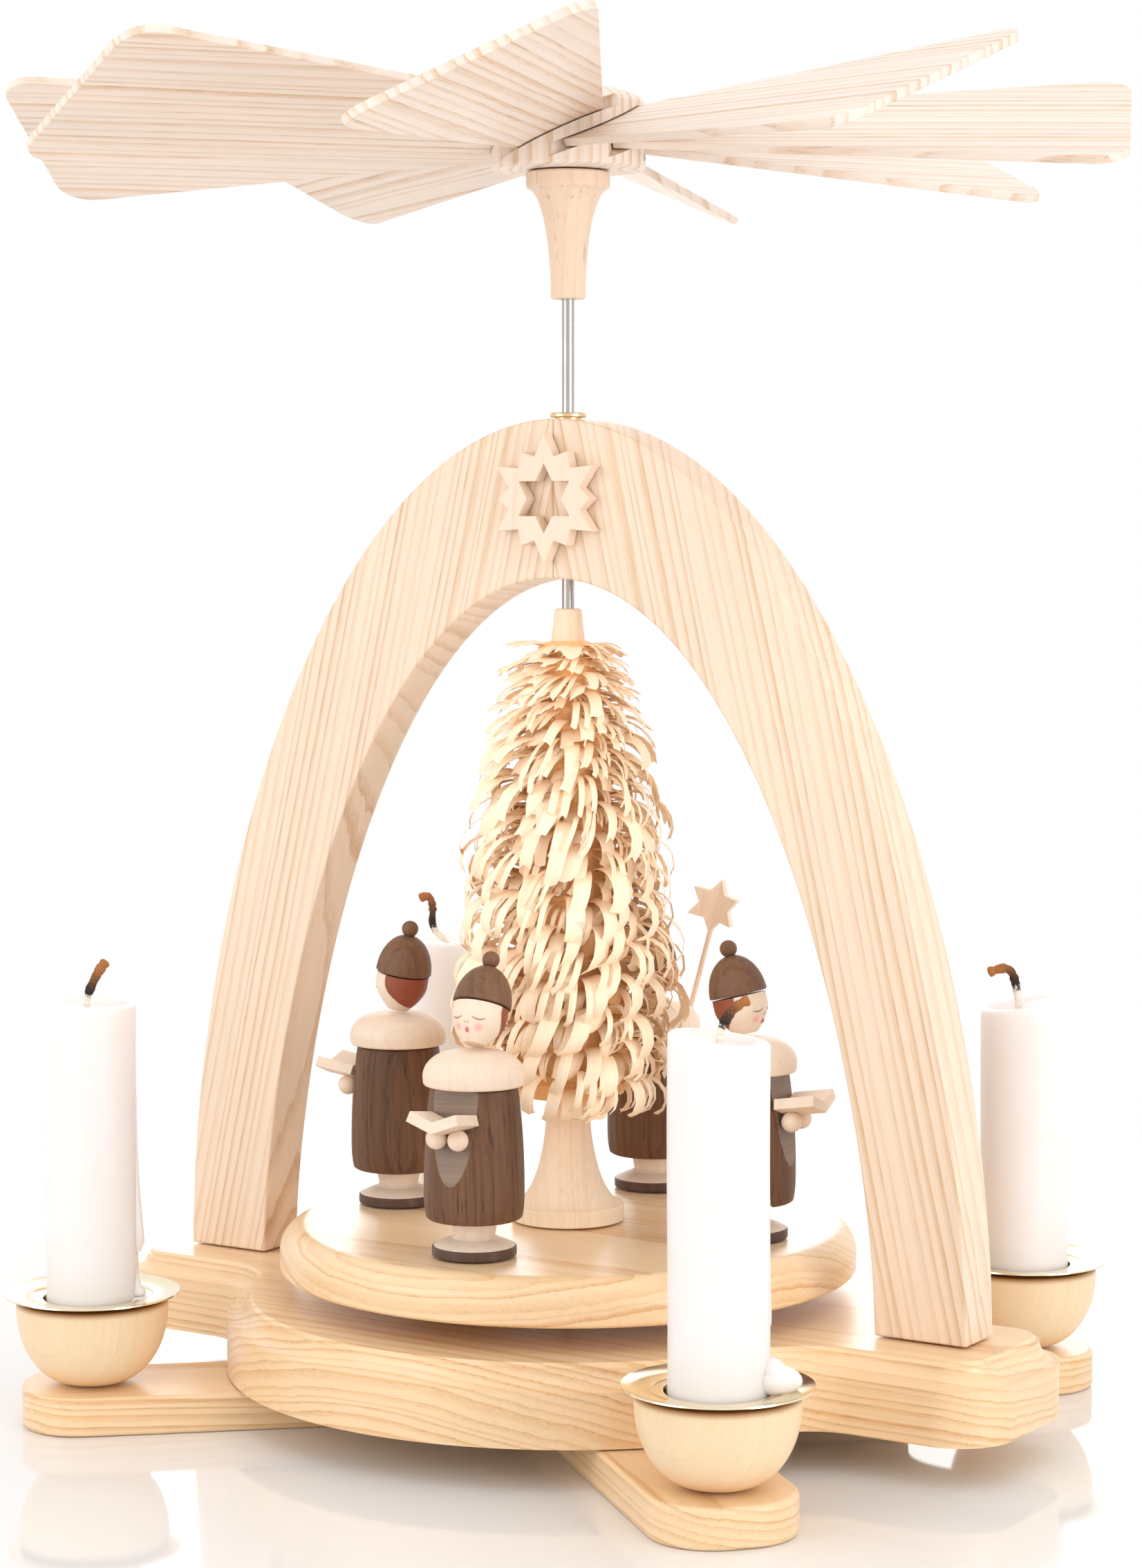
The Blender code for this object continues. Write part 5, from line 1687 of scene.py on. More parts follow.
@dataclass(frozen=True)
class Curl:
    """How the shavings were cut: the ranges that their random draws come from.

    Pairs named for a place run from the top of the tree to its foot. Angles are in degrees.
    """

    hang: Triple = (0.05, 1.6, 1.1)
    scatter: Point = (-0.25, 0.25)
    width: Point = (2.4 * MM, 4.4 * MM)
    width_share: Point = (0.74, 1.0)
    strands: tuple[int, ...] = (1, 1, 1, 1, 2, 2, 3)
    strand_width: float = 0.94
    strand_pivot: float = 0.45
    strand_droop: float = 12.0
    strand_lean: float = 0.1
    droop: Point = (-34.0, -138.0)
    droop_spread: Point = (-20.0, 20.0)
    lift: Point = (16.0, 27.0)
    lift_spread: Point = (-10.0, 10.0)
    lift_layer: float = 8.0
    reach: Point = (0.84, 1.03)
    reach_layer: Point = (0.15, 0.45)
    root_spread: Point = (-0.3, 0.3)
    root_layer: float = 1.0
    sweep: float = -0.30
    sweep_spread: Point = (-0.28, 0.28)
    curl: Point = (1.4, 2.2)
    tone: Point = (0.90, 1.0)
    cup: Point = (-0.05, 0.2)
    twist: Point = (-0.45, 0.45)
    ragged: Point = (-1.0, 0.4)
    neck: Triple = (0.6, 0.4, 4.0)
    tip: float = 0.8
    drift: float = 1.5


@dataclass
class ShavedTree:
    """A turned core with tiers of thin shavings left standing, and a pin at the top."""

    body_height: float = 85.6 * MM
    pin_radius: float = 2.6 * MM
    pin_edge: Line = ((-0.4, 0.0), (-0.1, -0.3))
    pin_flare: float = 1.2
    core_bottom: float = 9.2 * MM
    core_top: float = 4.0 * MM
    bore: float = 1.45 * MM
    tiers: int = 20
    tier_growth: float = 2.6
    tier_seat: float = 0.4
    first_count: int = 16
    last_count: int = 22
    ledge: float = 0.9 * MM
    ledge_heights: Point = (0.5 * MM, 0.4 * MM)
    root: float = 0.6
    fullness: float = 1.4
    thickness: float = 0.14 * MM
    steps: int = 9
    outline: Line = ((0.0, 20.6), (0.21, 22.0), (0.42, 20.6), (0.6, 19.2), (0.81, 16.0),
                                  (0.89, 14.4), (0.97, 11.6), (1.0, 10.6))
    cut: Curl = Curl()
    dice: random.Random = field(default_factory=lambda: random.Random(7))

    def build(self) -> None:
        """Build and dress the core and the shavings."""
        span = Span.of("shaved_tree")
        foot, top = span.low.z, span.high.z
        crest = foot + self.body_height
        profile = [(self.bore, foot), (self.bore, top)]
        profile += [(self.pin_radius + across * MM, top + up * MM) for across, up in self.pin_edge]
        profile.append((self.pin_radius * self.pin_flare, crest))
        heights = self.tier_heights()
        for height in heights:
            radius = self.fullness * self.core_radius(height)
            profile += [(radius - self.ledge, foot + height + self.ledge_heights[0]),
                        (radius, foot + height - self.ledge_heights[1])]
        profile.append((self.core_bottom, foot))
        core = Shape.turned(profile, segments=72, closed=True).marked(lambda height: height > crest)
        grain = Grain(span.centre, pith=(0.03, 0.02))
        # The core's deep orange is painted glow from light passing through the shavings.
        materials = [CORE_PAINTED_GLOW.material("shaved_tree_core", grain), LINDEN.material("shaved_tree_pin", grain)]
        core.piece("shaved_tree_core", materials, ROTOR, "linden", ["shaved_tree"], Crease.TURNED)
        shavings = Shape(bmesh.new())
        for tier, height in enumerate(heights):
            self.add_tier(shavings, foot + height, tier / (self.tiers - 1), height)
        shavings.piece("shaved_tree_shavings", [Shaving().material("shaved_tree_shavings")], ROTOR, "linden",
                       ["shaved_tree"], Crease.SHAVING)

    def tier_heights(self) -> list[float]:
        """Space the tiers, closer together near the top.

        Returns:
            Their heights above the foot, from the top down.
        """
        steps = [lerp(1.0, self.tier_growth, tier / (self.tiers - 1)) for tier in range(self.tiers)]
        heights = []
        fallen = 0.0
        for step in steps:
            heights.append(self.body_height * (1.0 - (fallen + self.tier_seat * step) / sum(steps)))
            fallen += step
        return heights

    def core_radius(self, height: float) -> float:
        """Return the radius of the core at a height above its foot."""
        return lerp(self.core_bottom, self.core_top, height / self.body_height)

    def outer_radius(self, height: float) -> float:
        """Find how far the shavings reach.

        Args:
            height: Height above the foot.

        Returns:
            The outer radius there.
        """
        share = min(max(height / self.body_height, 0.0), 1.0)
        for (low, near), (high, far) in zip(self.outline, self.outline[1:]):
            if share <= high:
                return lerp(near, far, (share - low) / (high - low)) * MM
        return self.outline[-1][1] * MM

    def add_tier(self, shavings: Shape, level: float, share: float, height: float) -> None:
        """Set one ring of shavings in two layers, some of them split into strands.

        Args:
            shavings: The shape that takes them.
            level: Height of the ring in the object's frame.
            share: 0 at the top of the tree and 1 at its foot.
            height: Height above the foot of the tree.
        """
        cut, draw = self.cut, self.dice.uniform
        count = round(lerp(self.first_count, self.last_count, share))
        core = self.core_radius(height) - self.root * self.ledge
        reach = self.outer_radius(height) - core
        first, rate, power = cut.hang
        hang = min(1.0, max(0.0, share - first) * rate) ** power
        for layer in (0, 1):
            offset = self.dice.random()
            for i in range(count):
                angle = math.tau * (i + offset + draw(*cut.scatter)) / count
                width = draw(*cut.width) * lerp(*cut.width_share, share)
                strands = self.dice.choice(cut.strands)
                droop = lerp(*cut.droop, hang) + draw(*cut.droop_spread)
                lift = lerp(*cut.lift, hang) + draw(*cut.lift_spread) - cut.lift_layer * layer
                stretch = reach * (draw(*cut.reach) - layer * draw(*cut.reach_layer))
                start = level + (draw(*cut.root_spread) - cut.root_layer * layer) * MM
                lean = cut.sweep + draw(*cut.sweep_spread)
                for strand in range(strands):
                    aside = ((strand + 0.5) / strands - 0.5) * width / (core + cut.strand_pivot * reach)
                    loose = (strands - 1) * draw(-1.0, 1.0)
                    shavings.joined(self.shaving(
                        core, start, angle + aside, cut.strand_width * width / strands, lift,
                        droop + cut.strand_droop * loose, stretch, lean + cut.strand_lean * loose,
                        lerp(*cut.curl, hang)))

    def shaving(self, core: float, level: float, angle: float, width: float, lift: float, droop: float,
                stretch: float, lean: float, curl: float) -> Shape:
        """Bend one shaving out of the core: up a little, out, and over.

        Args:
            core: Radius of the core at the root.
            level: Height of the root.
            angle: Bearing of the root, in radians.
            width: Width of the shaving.
            lift: Slope at the root, in degrees.
            droop: Slope at the free end, in degrees.
            stretch: How far out the shaving reaches.
            lean: How far it drifts sideways, as a share of its reach.
            curl: How much of the bend is kept for the free end.

        Returns:
            The shaving, with its own map and tone.
        """
        cut, draw = self.cut, self.dice.uniform
        radial = Vector((math.cos(angle), math.sin(angle), 0.0))
        across = Vector((-radial.y, radial.x, 0.0))
        slopes = [math.radians(lerp(lift, droop, (i / self.steps) ** curl)) for i in range(self.steps + 1)]
        line = [Vector((0.0, 0.0))]
        for slope in slopes[1:]:
            line.append(line[-1] + Vector((math.cos(slope), math.sin(slope))))
        scale = stretch / max(point.x for point in line)
        tone = draw(*cut.tone)
        cup = draw(*cut.cup) * width
        twist = draw(*cut.twist)
        bm = bmesh.new()
        bm.loops.layers.uv.new("ribbon")
        tone_layer = bm.verts.layers.float.new("tone")
        bmesh.ops.create_grid(bm, x_segments=2, y_segments=self.steps, size=0.5, calc_uvs=True)
        for vert in bm.verts:
            column, share = vert.co.x, vert.co.y + 0.5
            step = round(share * self.steps)
            slope = slopes[step]
            forward = radial * math.cos(slope) + UP * math.sin(slope)
            normal = radial * -math.sin(slope) + UP * math.cos(slope)
            side = across * math.cos(twist * share) + normal * math.sin(twist * share)
            ragged = draw(*cut.ragged) * MM if step == self.steps else 0.0
            neck = cut.neck[0] + cut.neck[1] * min(1.0, share * cut.neck[2])
            breadth = column * width * neck * lerp(1.0, cut.tip, share ** 3)
            out, rise = line[step] * scale
            vert.co = radial * (core + out) + UP * (level + rise) + side * breadth + forward * ragged
            vert.co += across * (lean * stretch * share ** cut.drift) - normal * (cup * (2 * column) ** 2)
            vert[tone_layer] = tone
        bmesh.ops.solidify(bm, geom=bm.faces[:], thickness=self.thickness)
        return Shape(bm)


@dataclass
class WingWheel:
    """Stem, slotted hub and eight pitched wings above the arch."""

    count: int = 8
    start: float = 22.9
    pitch: float = 23.5
    tip_radius: float = 103.0 * MM
    tip_width: float = 46.5 * MM
    root_width: float = 18.6 * MM
    thickness: float = 1.6 * MM
    tip_corner: float = 6.0 * MM
    edge: float = 0.3 * MM
    dome: float = 3.6 * MM
    hub_edge: float = 0.8 * MM
    hub_core: float = 9.2 * MM
    bore: float = 1.45 * MM
    bore_depth: float = 9.3 * MM
    stem_band: float = 3.0 * MM
    stem_bottom: float = 3.2 * MM
    band_round: float = 0.5 * MM
    band_foot: float = 0.6 * MM
    flare_inset: float = 0.3 * MM
    flare_drop: float = 0.2 * MM
    slant: Point = (-0.10, 0.10)
    ring_lean: Point = (-0.5, 0.5)
    pith_reach: Point = (0.10, 0.3)
    pith_aside: Point = (0.0, 0.05)
    dice: random.Random = field(default_factory=lambda: random.Random(3))

    def build(self) -> None:
        """Build and dress the wheel."""
        self.build_stem()
        self.build_hub()
        self.build_wings()

    def wing_frame(self, index: int) -> Matrix:
        """Return the frame of one wing, +X outward along it and +Z its normal."""
        angle = self.start + 360.0 / self.count * index
        return move(z=Span.of(f"wing_{index + 1}").centre.z) @ outward(angle) @ turn(self.pitch, "X")

    def build_stem(self) -> None:
        """Turn the stem: a band at the top and a hollow flare to a thin lower end."""
        span = Span.of("hub_stem")
        radius, top, low = span.radius, span.high.z, span.low.z
        band = top - self.stem_band
        edge, foot = self.band_round, self.band_foot
        neck = radius - self.flare_inset
        profile = [(self.bore, low), (self.bore, top)]
        profile += arc((radius - edge, top - edge), edge, 90.0, 0.0, 5)
        profile += arc((radius - foot, band + edge), foot, 0.0, -60.0, 5)
        flare = (neck - self.stem_bottom, band - low - self.flare_drop)
        profile += ellipse((neck, low), flare, 94.0, 172.0, 22)
        profile += arc((self.stem_bottom - edge, low + foot), foot, 0.0, -90.0, 5)
        grain = Grain(span.centre, along=UP + EAST * 0.05, pith=(0.04, 0.03))
        stem = Shape.turned(profile, segments=72, closed=True)
        stem.dressed("hub_stem", [BEECH.material("hub_stem_beech", grain)], ROTOR, "beech", Crease.TURNED)

    def build_hub(self) -> None:
        """Turn the hub and saw one slanted slot for each wing."""
        span = Span.of("wing_hub")
        radius, top, low = span.radius, span.high.z, span.low.z
        blind = low + self.bore_depth
        profile = [(0.0, blind), (self.bore, blind), (self.bore, low)]
        profile += arc((radius - self.hub_edge, low + self.hub_edge), self.hub_edge, -90.0, 0.0, 5)
        profile += ellipse((0.0, top - self.dome), (radius, self.dome), 0.0, 88.0, 16)
        profile.append((0.0, top))
        half = self.thickness / 2 + GAP
        slot = (Vector((self.hub_core, -2 * radius, -half)), Vector((2 * radius, 2 * radius, half)))
        slots = [Shape.block(*slot).placed(self.wing_frame(i)) for i in range(self.count)]
        ash = WING_ASH.material("wing_hub_ash", Grain(span.centre, pith=(0.02, 0.01)))
        hub = Shape.turned(profile, segments=96).carved(slots)
        hub.dressed("wing_hub", [ash], ROTOR, "pale_ash", Crease.TURNED)

    def build_wings(self) -> None:
        """Cut the wings, each with its own run of grain."""
        hub_radius = Span.of("wing_hub").radius
        tip, root = self.tip_radius, self.hub_core + GAP
        spread = (self.tip_width - self.root_width) / 2 / (tip - hub_radius)
        root_half = self.root_width / 2 - spread * (hub_radius - root)
        tip_half = self.tip_width / 2
        corners = [(root, -root_half), (tip, -tip_half), (tip, tip_half), (root, root_half)]
        outline = rounded(corners, (0.0, self.tip_corner, self.tip_corner, 0.0), steps=10)
        draw = self.dice.uniform
        for i in range(self.count):
            node = f"wing_{i + 1}"
            frame = self.wing_frame(i)
            axes = frame.to_3x3()
            wing = Shape.plate([outline], self.thickness).soften(self.edge, segments=2, angle=40.0)
            along = axes @ Vector((1.0, draw(*self.slant), 0.0))
            across = axes @ Vector((0.0, 1.0, draw(*self.ring_lean)))
            pith = (draw(*self.pith_reach) * self.dice.choice((-1, 1)), draw(*self.pith_aside))
            ash = WING_ASH.material(f"{node}_ash", Grain(frame.translation, along, across, pith))
            wing.placed(frame).dressed(node, [ash], ROTOR, "pale_ash", Crease.TURNED)


# The singers

@dataclass
class Singer:
    """A turned doll in a stained coat who holds a songbook or a star.

    The strokes of the face are points of place and half width in millimetres, and the places are
    bearings in degrees and shares of the head's height.
    """

    number: int
    burden: Burden
    head_tilt: float
    rim: float = 1.8 * MM
    cone: float = 1.4 * MM
    cone_bow: Point = (0.75, 0.25)
    cone_steps: Row = (0.25, 0.5, 0.75, 1.0)
    edge: float = 0.3 * MM
    leg_radius: float = 4.0 * MM
    leg_flare: float = 0.25 * MM
    leg_foot: Point = (0.1 * MM, 0.5 * MM)
    paint_line: float = 0.01 * MM
    coat_top: float = 7.9 * MM
    coat_belly: float = 9.1 * MM
    coat_hem: float = 8.4 * MM
    coat_steps: int = 14
    belly_height: float = 5.3 * MM
    hem_drop: float = 0.5 * MM
    hem_tuck: float = 0.2 * MM
    flat_depth: float = 1.4 * MM
    flat_length: float = 17.0 * MM
    collar_rim: float = 1.5 * MM
    collar_top: float = 3.4 * MM
    collar_inset: float = 0.5 * MM
    collar_edge: Point = (0.42 * MM, 0.6 * MM)
    head_height: float = 7.0 * MM
    head_radius: float = 5.0 * MM
    head_steps: int = 20
    head_bow: Point = (0.75, 0.95)
    neck: float = 2.0 * MM
    cheek: Point = (31.0, 0.33)
    eye: Point = (27.0, 0.515)
    eye_size: Point = (15.0, 0.055)
    lid: Line = ((-1.0, 0.04), (-0.7, 0.09), (-0.35, 0.12), (0.0, 0.13), (0.35, 0.12),
                              (0.7, 0.09), (1.0, 0.04))
    nose: Point = (4.2, 0.425)
    nostril: Line = ((-1.6, 0.05), (0.0, 0.12), (1.6, 0.05))
    mouth: Point = (0.19, 0.12)
    lips: Line = ((0.0, 0.1), (0.2, 0.3), (0.4, 0.42), (0.6, 0.42), (0.8, 0.3), (1.0, 0.12))
    brush: float = 0.9
    brush_proud: float = 0.02 * MM
    cap_radius: float = 5.35 * MM
    cap_height: float = 7.4 * MM
    cap_edge: Point = (0.2 * MM, 0.15 * MM)
    cap_neck: float = 0.8 * MM
    bobble: float = 1.6 * MM
    bobble_lift: float = 1.2 * MM
    hand: float = 1.9 * MM
    hand_spacing: float = 4.4 * MM
    hand_height: float = 15.7 * MM
    book_depth: float = 8.0 * MM
    book_leaf: float = 5.6 * MM
    book_thickness: float = 2.0 * MM
    book_angle: float = 20.0
    book_lift: float = 0.6 * MM
    eased: float = 0.12 * MM
    staff_radius: float = 0.5 * MM
    staff_length: float = 34.2 * MM
    staff_lean: float = 15.5
    staff_steps: int = 8
    staff_star: float = 5.6 * MM
    staff_star_thickness: float = 0.6 * 2.8 * MM
    staff_star_bend: float = -0.32

    def __post_init__(self) -> None:
        """Find the doll's own frame, +X to its front, from the foot, the coat and the collar."""
        self.name = f"singer_{self.number}"
        foot, coat, collar = (Span.of(f"{self.name}_{part}") for part in ("foot", "coat", "collar"))
        bearing = math.degrees(math.atan2(foot.centre.y, foot.centre.x))
        self.frame = move(foot.centre.x, foot.centre.y, foot.low.z) @ turn(bearing)
        self.coat_low, self.coat_high = coat.low.z - foot.low.z, coat.high.z - foot.low.z
        self.collar_low, self.collar_high = collar.low.z - foot.low.z, collar.high.z - foot.low.z
        flat_spread = (self.coat_belly - self.coat_top + self.flat_depth) / self.flat_length
        self.flat_normal = Vector((1.0, 0.0, flat_spread)).normalized()
        self.flat_point = Vector((self.coat_top - self.flat_depth, 0.0, self.coat_high))
        lift = self.collar_high + GAP + self.neck * math.sin(math.radians(self.head_tilt))
        self.head_frame = self.frame @ move(z=lift) @ turn(-self.head_tilt, "Y")

    def grain(self, pith: Point = (0.03, 0.015), tilt: float = 0.0) -> Grain:
        """Return upright grain whose rings cross from side to side."""
        axes = self.frame.to_3x3()
        return Grain(self.frame.translation, UP + axes @ EAST * tilt, axes @ NORTH, pith)

    def build(self) -> None:
        """Build and dress the doll from the foot to the bobble."""
        self.build_foot()
        self.build_coat()
        self.build_collar()
        self.build_head()
        self.build_cap()
        if self.burden is Burden.STAR_STAFF:
            self.build_staff()
        else:
            self.build_book()
        self.build_hands()

    def build_foot(self) -> None:
        """Turn the foot: a dark rim, a pale cone and the legs."""
        node = f"{self.name}_foot"
        radius, edge, leg = Span.of(node).radius, self.edge, self.leg_radius
        cone = self.rim + self.cone
        top = self.coat_low - GAP
        lip = leg + self.leg_foot[0]
        profile = [(0.0, top), (leg + self.leg_flare, top), (leg - self.leg_flare, cone + self.leg_foot[1]),
                   (lip, cone)]
        for share in self.cone_steps:
            fall = self.cone_bow[0] * share + self.cone_bow[1] * share ** 2
            profile.append((lerp(lip, radius - edge, share), cone - self.cone * fall))
        profile += arc((radius - edge, self.rim - edge), edge, 70.0, 0.0, 3)
        profile += arc((radius - edge, edge), edge, 0.0, -90.0, 4)
        profile.append((0.0, 0.0))
        foot = Shape.turned(profile, segments=56).marked(lambda height: height < self.rim + self.paint_line)
        materials = [DOLL_MAPLE.material(f"{node}_maple", self.grain((0.02, 0.03))),
                     FOOT_STAIN.material(f"{node}_stain", self.grain())]
        foot.placed(self.frame).dressed(node, materials, ROTOR, "stained", Crease.TURNED)

    def build_coat(self) -> None:
        """Turn the coat and plane its front."""
        node = f"{self.name}_coat"
        edge, low, high = self.edge, self.coat_low, self.coat_high
        profile = [(0.0, high)]
        profile += arc((self.coat_top - edge, high - edge), edge, 90.0, 10.0, 4)
        for i in range(1, self.coat_steps + 1):
            share = 1.0 - i / self.coat_steps
            radius = self.coat_belly - (self.coat_belly - self.coat_top) * share ** 2
            profile.append((radius, lerp(low + self.belly_height, high, share)))
        drop = self.belly_height - self.hem_drop
        hem = self.coat_hem
        profile += ellipse((hem, low + drop), (self.coat_belly - hem, drop), 0.0, -70.0, 8)
        profile += [(hem - self.hem_tuck, low), (0.0, low)]
        coat = Shape.turned(profile, segments=72).planed(self.flat_point, self.flat_normal, material=1)
        planed = Grain(self.frame.translation, along=self.frame.to_3x3() @ NORTH + UP * 0.06, across=UP,
                       pith=(0.02, 0.04))
        materials = [STAIN.material(f"{node}_stain", self.grain((0.018, 0.012), tilt=0.03)),
                     PLANED_STAIN.material(f"{node}_planed", planed)]
        coat.placed(self.frame).dressed(node, materials, ROTOR, "stained", Crease.MOULDED)

    def build_collar(self) -> None:
        """Turn the broad collar."""
        node = f"{self.name}_collar"
        radius, low, high, top = Span.of(node).radius, self.collar_low, self.collar_high, self.collar_top
        rim = low + self.collar_rim
        profile = [(0.0, high)]
        profile += ellipse((top, rim), (radius - top, high - rim), 90.0, 0.0, 18)
        corner = (radius - self.collar_inset, low + self.collar_edge[1])
        profile += ellipse(corner, self.collar_edge, 0.0, -80.0, 6)
        profile.append((0.0, low))
        collar = Shape.turned(profile, segments=72).placed(self.frame)
        maple = DOLL_MAPLE.material(f"{node}_maple", self.grain((0.025, 0.006 * self.number), tilt=0.2))
        collar.dressed(node, [maple], ROTOR, "maple", Crease.ROUND)

    def face_radius(self, height: float) -> float:
        """Return the head's radius at a height above the neck."""
        share = min(1.0, height / self.head_height / self.head_bow[0])
        return self.neck + (self.head_radius - self.neck) * math.sin(math.pi / 2 * share) ** self.head_bow[1]

    def on_face(self, bearing: float, height: float, proud: float = 0.0) -> Vector:
        """Find a point of the face.

        Args:
            bearing: Degrees to the doll's left of its nose.
            height: Share of the head's height.
            proud: How far it stands off the wood.

        Returns:
            The point in the object's frame.
        """
        level = height * self.head_height
        radius = self.face_radius(level) + proud
        angle = math.radians(bearing)
        return self.head_frame @ Vector((radius * math.cos(angle), radius * math.sin(angle), level))

    def build_head(self) -> None:
        """Turn the head, then paint the closed eyes, the nose and the mouth."""
        node = f"{self.name}_head"
        levels = [self.head_height * (1 - i / self.head_steps) for i in range(self.head_steps + 1)]
        profile = [(0.0, self.head_height)]
        profile += [(self.face_radius(level), level) for level in levels]
        profile.append((0.0, 0.0))
        head = Shape.turned(profile, segments=72).placed(self.head_frame)
        cheeks = [self.on_face(side * self.cheek[0], self.cheek[1]) for side in (-1, 1)]
        face = Face().material(f"{node}_face", self.head_frame, self.head_height, cheeks)
        head.dressed(node, [face], ROTOR, "maple", Crease.ROUND)
        eyes = Shape(bmesh.new())
        for side in (-1, 1):
            eyes.joined(self.stroke([(side * self.eye[0] + self.eye_size[0] * t,
                                      self.eye[1] + self.eye_size[1] * t * t, width)
                                     for t, width in self.lid]))
            eyes.joined(self.stroke([(side * self.nose[0] + aside, self.nose[1], width)
                                     for aside, width in self.nostril]))
        eyes.piece(f"{self.name}_eyes", [LASH.material(f"{self.name}_lash")], ROTOR, None)
        mouth = self.stroke([(0.0, self.mouth[0] + self.mouth[1] * t, width) for t, width in self.lips])
        mouth.piece(f"{self.name}_mouth", [LIP.material(f"{self.name}_lip")], ROTOR, None)

    def stroke(self, points: Sequence[Triple]) -> Shape:
        """Lay one brush stroke on the face, as a very thin shape of bearings, heights and half widths."""
        path = [self.on_face(bearing, height, self.brush_proud) for bearing, height, _ in points]
        return Shape.tube(path, [width * MM * self.brush for _, _, width in points], sides=8)

    def build_cap(self) -> None:
        """Turn the cap with its bobble."""
        node = f"{self.name}_cap"
        radius = self.cap_radius
        profile = arc((0.0, self.cap_height + self.bobble_lift), self.bobble, 90.0, -52.0, 14)
        profile[0] = (0.0, profile[0][1])
        start = math.degrees(math.acos(self.cap_neck / radius))
        profile += ellipse((0.0, 0.0), (radius, self.cap_height), start, 4.0, 20)
        profile += [(radius, self.cap_edge[1]), (radius - self.cap_edge[0], 0.0), (0.0, 0.0)]
        cap = Shape.turned(profile, segments=72).placed(self.head_frame @ move(z=self.head_height + GAP))
        stain = CAP_STAIN.material(f"{node}_stain", self.grain((0.02, 0.01)))
        cap.dressed(node, [stain], ROTOR, "stained", Crease.ROUND)

    def flat_reach(self, height: float) -> float:
        """Return how far the planed flat stands from the axis at a height."""
        return self.flat_point.x + (self.coat_high - height) * self.flat_normal.z / self.flat_normal.x

    def hand_places(self) -> list[Vector]:
        """Find the middles of both hands.

        Returns:
            The two points in the doll's frame.
        """
        height = self.coat_low + self.hand_height
        reach = self.flat_reach(height) + (self.hand + GAP) / self.flat_normal.x
        return [Vector((reach, side * self.hand_spacing / 2, height)) for side in (-1, 1)]

    def build_hands(self) -> None:
        """Turn two ball hands."""
        left, right = [Shape.ball(self.hand, segments=32).placed(self.frame @ Matrix.Translation(place))
                       for place in self.hand_places()]
        maple = DOLL_MAPLE.material(f"{self.name}_hands_maple", self.grain((0.012, 0.008)))
        left.joined(right).piece(f"{self.name}_hands", [maple], ROTOR, "maple")

    def build_book(self) -> None:
        """Cut the open songbook, square to the planed front, its leaves rising from the spine."""
        node = f"{self.name}_songbook"
        slope = math.radians(self.book_angle)
        edge = Vector((math.cos(slope), math.sin(slope))) * self.book_leaf
        rise = Vector((-math.sin(slope), math.cos(slope))) * self.book_thickness
        ridge = self.book_thickness / math.cos(slope)
        lower = [(-edge.x, edge.y), (0.0, 0.0), tuple(edge)]
        upper = [(-edge.x - rise.x, edge.y + rise.y), (0.0, ridge), tuple(edge + rise)]
        spine = self.coat_low + self.hand_height + self.book_lift
        lean = math.degrees(math.atan2(self.flat_normal.z, self.flat_normal.x))
        square = move(self.flat_reach(spine), 0.0, spine) @ turn(-lean, "Y")
        upright = turn(90.0, "Z") @ turn(90.0, "X")
        book = Shape.strip(lower, upper, self.book_depth).soften(self.eased, segments=2, angle=60.0)
        book.placed(self.frame @ square @ move(GAP + self.book_depth / 2) @ upright)
        grain = Grain(self.frame.translation, along=self.frame.to_3x3() @ NORTH, across=UP, pith=(0.02, 0.03))
        book.dressed(node, [DOLL_MAPLE.material(f"{node}_maple", grain)], ROTOR, "maple", Crease.CUT)

    def build_staff(self) -> None:
        """Make the star on its thin staff, bent to a ridge down its middle."""
        node = f"{self.name}_star_staff"
        left, right = self.hand_places()
        lean = self.frame @ Matrix.Translation((left + right) / 2) @ turn(self.staff_lean, "X")
        upright = turn(90.0, "Z") @ turn(90.0, "X")
        outline = star((self.staff_star, self.staff_star / math.sqrt(3)), 6)
        plate = Shape.plate([outline], self.staff_star_thickness)
        plate.sawn(ORIGIN, EAST, clear=False)
        plate.pushed(lambda point: UP * (self.staff_star_bend * abs(point.x)))
        plate.soften(self.eased, segments=2).placed(lean @ move(z=self.staff_length) @ upright)
        grain = Grain(self.frame.translation, along=UP + EAST * 0.2, pith=(0.03, 0.01))
        plate.dressed(node, [DOLL_MAPLE.material(f"{node}_maple", grain)], ROTOR, "maple", Crease.CUT)
        low, high = lean @ (UP * -self.hand), lean @ (UP * (self.staff_length - self.staff_star / 2))
        path = [low.lerp(high, i / self.staff_steps) for i in range(self.staff_steps + 1)]
        rod = Shape.tube(path, [self.staff_radius] * len(path), sides=16)
        beech = BEECH.material(f"{self.name}_staff_beech", self.grain())
        rod.piece(f"{self.name}_staff", [beech], ROTOR, "maple")


# Floor, light and camera

@dataclass(frozen=True)
class Lamp:
    """A soft square light that looks at the middle of the object."""

    name: str
    position: Triple
    size: float
    watts: float
    aim: Triple = (0.0, 0.0, 0.12)

    def hang(self) -> None:
        """Put the light into the scene."""
        lamp = bpy.data.lights.new(self.name, "AREA")
        lamp.size = self.size
        lamp.energy = self.watts
        light = bpy.data.objects.new(self.name, lamp)
        light.location = self.position
        light.rotation_euler = (Vector(self.aim) - light.location).to_track_quat("-Z", "Y").to_euler()
        bpy.context.scene.collection.objects.link(light)


LAMPS = (Lamp("key_light", (-0.50, -1.00, 0.35), size=0.7, watts=2.8),
         Lamp("fill_light", (1.0, -0.18, 0.15), size=0.5, watts=3.5),
         Lamp("back_light", (-0.50, 0.85, 0.28), size=0.5, watts=1.7),
         Lamp("top_light", (-0.10, -0.10, 1.60), size=1.2, watts=1.6))


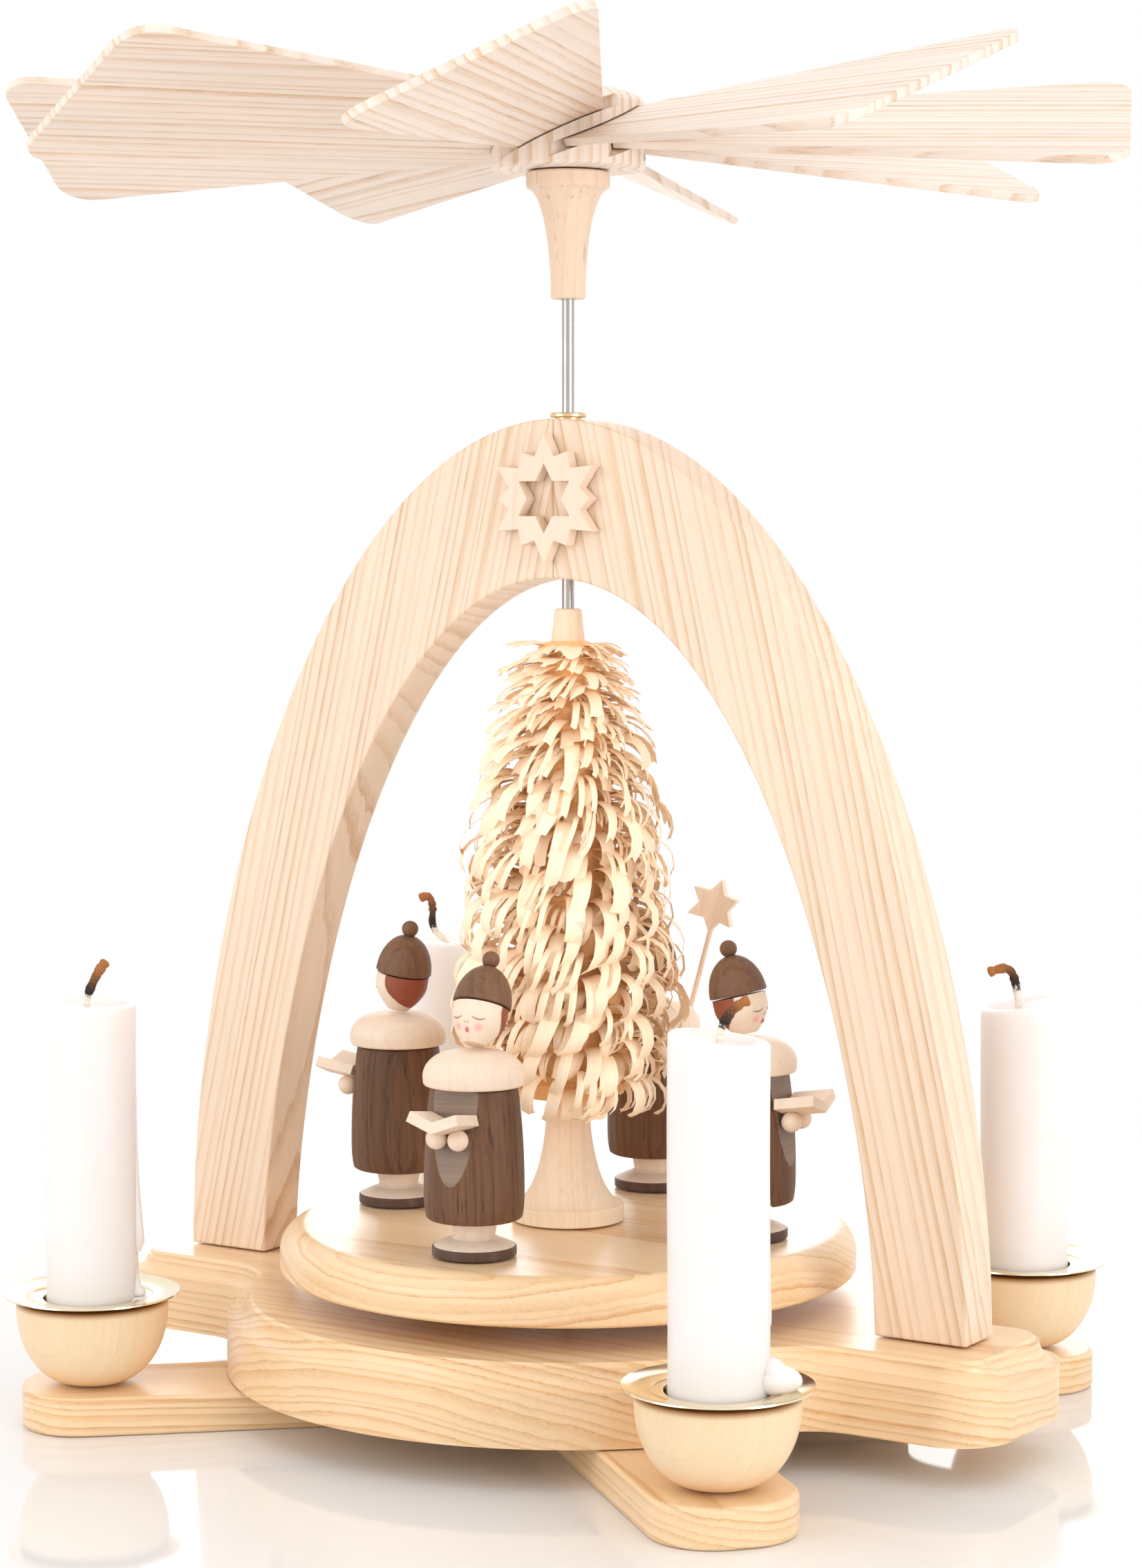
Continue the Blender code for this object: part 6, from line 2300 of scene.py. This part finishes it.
@dataclass
class Studio:
    """A pale glossy table, soft light from all round, and the camera."""

    azimuth: float = 32.17
    distance: float = 0.6605
    height: float = 0.16706
    pitch: float = 4.2925
    aside: float = 0.047
    lens: float = 81.0
    sensor: float = 36.0
    near: float = 0.01
    table_size: float = 8.0
    table: Colour = (0.82, 0.81, 0.80)
    table_cloud: Row = (0.2, 0.8, 0.05, 0.08)
    cloud_scale: float = 9.0
    fade: Point = (0.10, 0.34)
    world: float = 1.12

    def right(self) -> Vector:
        """Return the direction that the camera sees as right."""
        angle = math.radians(self.azimuth)
        return Vector((math.cos(angle), math.sin(angle), 0.0))

    def build(self) -> None:
        """Set up the floor, the background, the lights and the camera."""
        self.build_table()
        self.build_world()
        for lamp in LAMPS:
            lamp.hang()
        camera = bpy.data.objects.new("camera", bpy.data.cameras.new("camera"))
        camera.data.lens = self.lens
        camera.data.sensor_width = self.sensor
        camera.data.clip_start = self.near
        angle = math.radians(self.azimuth)
        camera.location = (self.distance * math.sin(angle), -self.distance * math.cos(angle), self.height)
        heading = math.radians(self.azimuth - self.aside)
        camera.rotation_euler = (math.radians(90.0 - self.pitch), 0.0, heading)
        bpy.context.scene.collection.objects.link(camera)
        bpy.context.scene.camera = camera
        bpy.context.scene.view_settings.view_transform = "Standard"

    def build_table(self) -> None:
        """Lay the table top, which fades to white away from the object."""
        bm = bmesh.new()
        bmesh.ops.create_grid(bm, x_segments=1, y_segments=1, size=self.table_size / 2)
        table = Shape(bm).as_object("table_top")
        graph = Graph.of("table_white")
        rough = graph.remap(graph.noise(graph.place(), self.cloud_scale), *self.table_cloud)
        graph.finish(Base_Color=self.table, Roughness=rough)
        away = graph.length(graph.vector("MULTIPLY", graph.place(), LEVEL))
        share = graph.times(graph.remap(away, *self.fade), graph.seen())
        glow = graph.node("ShaderNodeEmission", {"Color": WHITE, "Strength": 1.0})
        shader = graph.tree.nodes["Principled BSDF"].outputs[0]
        blend = graph.node("ShaderNodeMixShader", {0: share, 1: shader, 2: glow.outputs[0]})
        graph.feed(graph.tree.nodes["Material Output"].inputs["Surface"], blend.outputs[0])
        table.data.materials.append(graph.owner)

    def build_world(self) -> None:
        """Make the surroundings plain white to the eye and to metal, with their own level as light."""
        world = bpy.data.worlds.new("white_room")
        bpy.context.scene.world = world
        graph = Graph(world)
        level = graph.node("ShaderNodeMapRange", {0: graph.seen(), 3: self.world, 4: 1.0})
        background = graph.tree.nodes["Background"].inputs
        graph.feed(background["Strength"], level.outputs[0])
        graph.feed(background["Color"], WHITE)


def clear_scene() -> None:
    """Remove whatever the empty file starts with."""
    for thing in list(bpy.data.objects):
        bpy.data.objects.remove(thing, do_unlink=True)


def main() -> None:
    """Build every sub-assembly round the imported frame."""
    logging.basicConfig(level=logging.INFO, format="%(message)s")
    clear_scene()
    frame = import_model()
    studio = Studio()
    FootBars().build()
    BasePlate().build()
    Arch().build()
    Bearings().build(frame["nodes"])
    for place in Place:
        CandlePlace(place, studio.right()).build()
    Carousel().build()
    ShavedTree().build()
    WingWheel().build()
    for number, tilt in enumerate(HEAD_TILTS, start=1):
        Singer(number, Burden.STAR_STAFF if number == STAR_BEARER else Burden.SONGBOOK, tilt).build()
    studio.build()


if __name__ == "__main__":
    main()
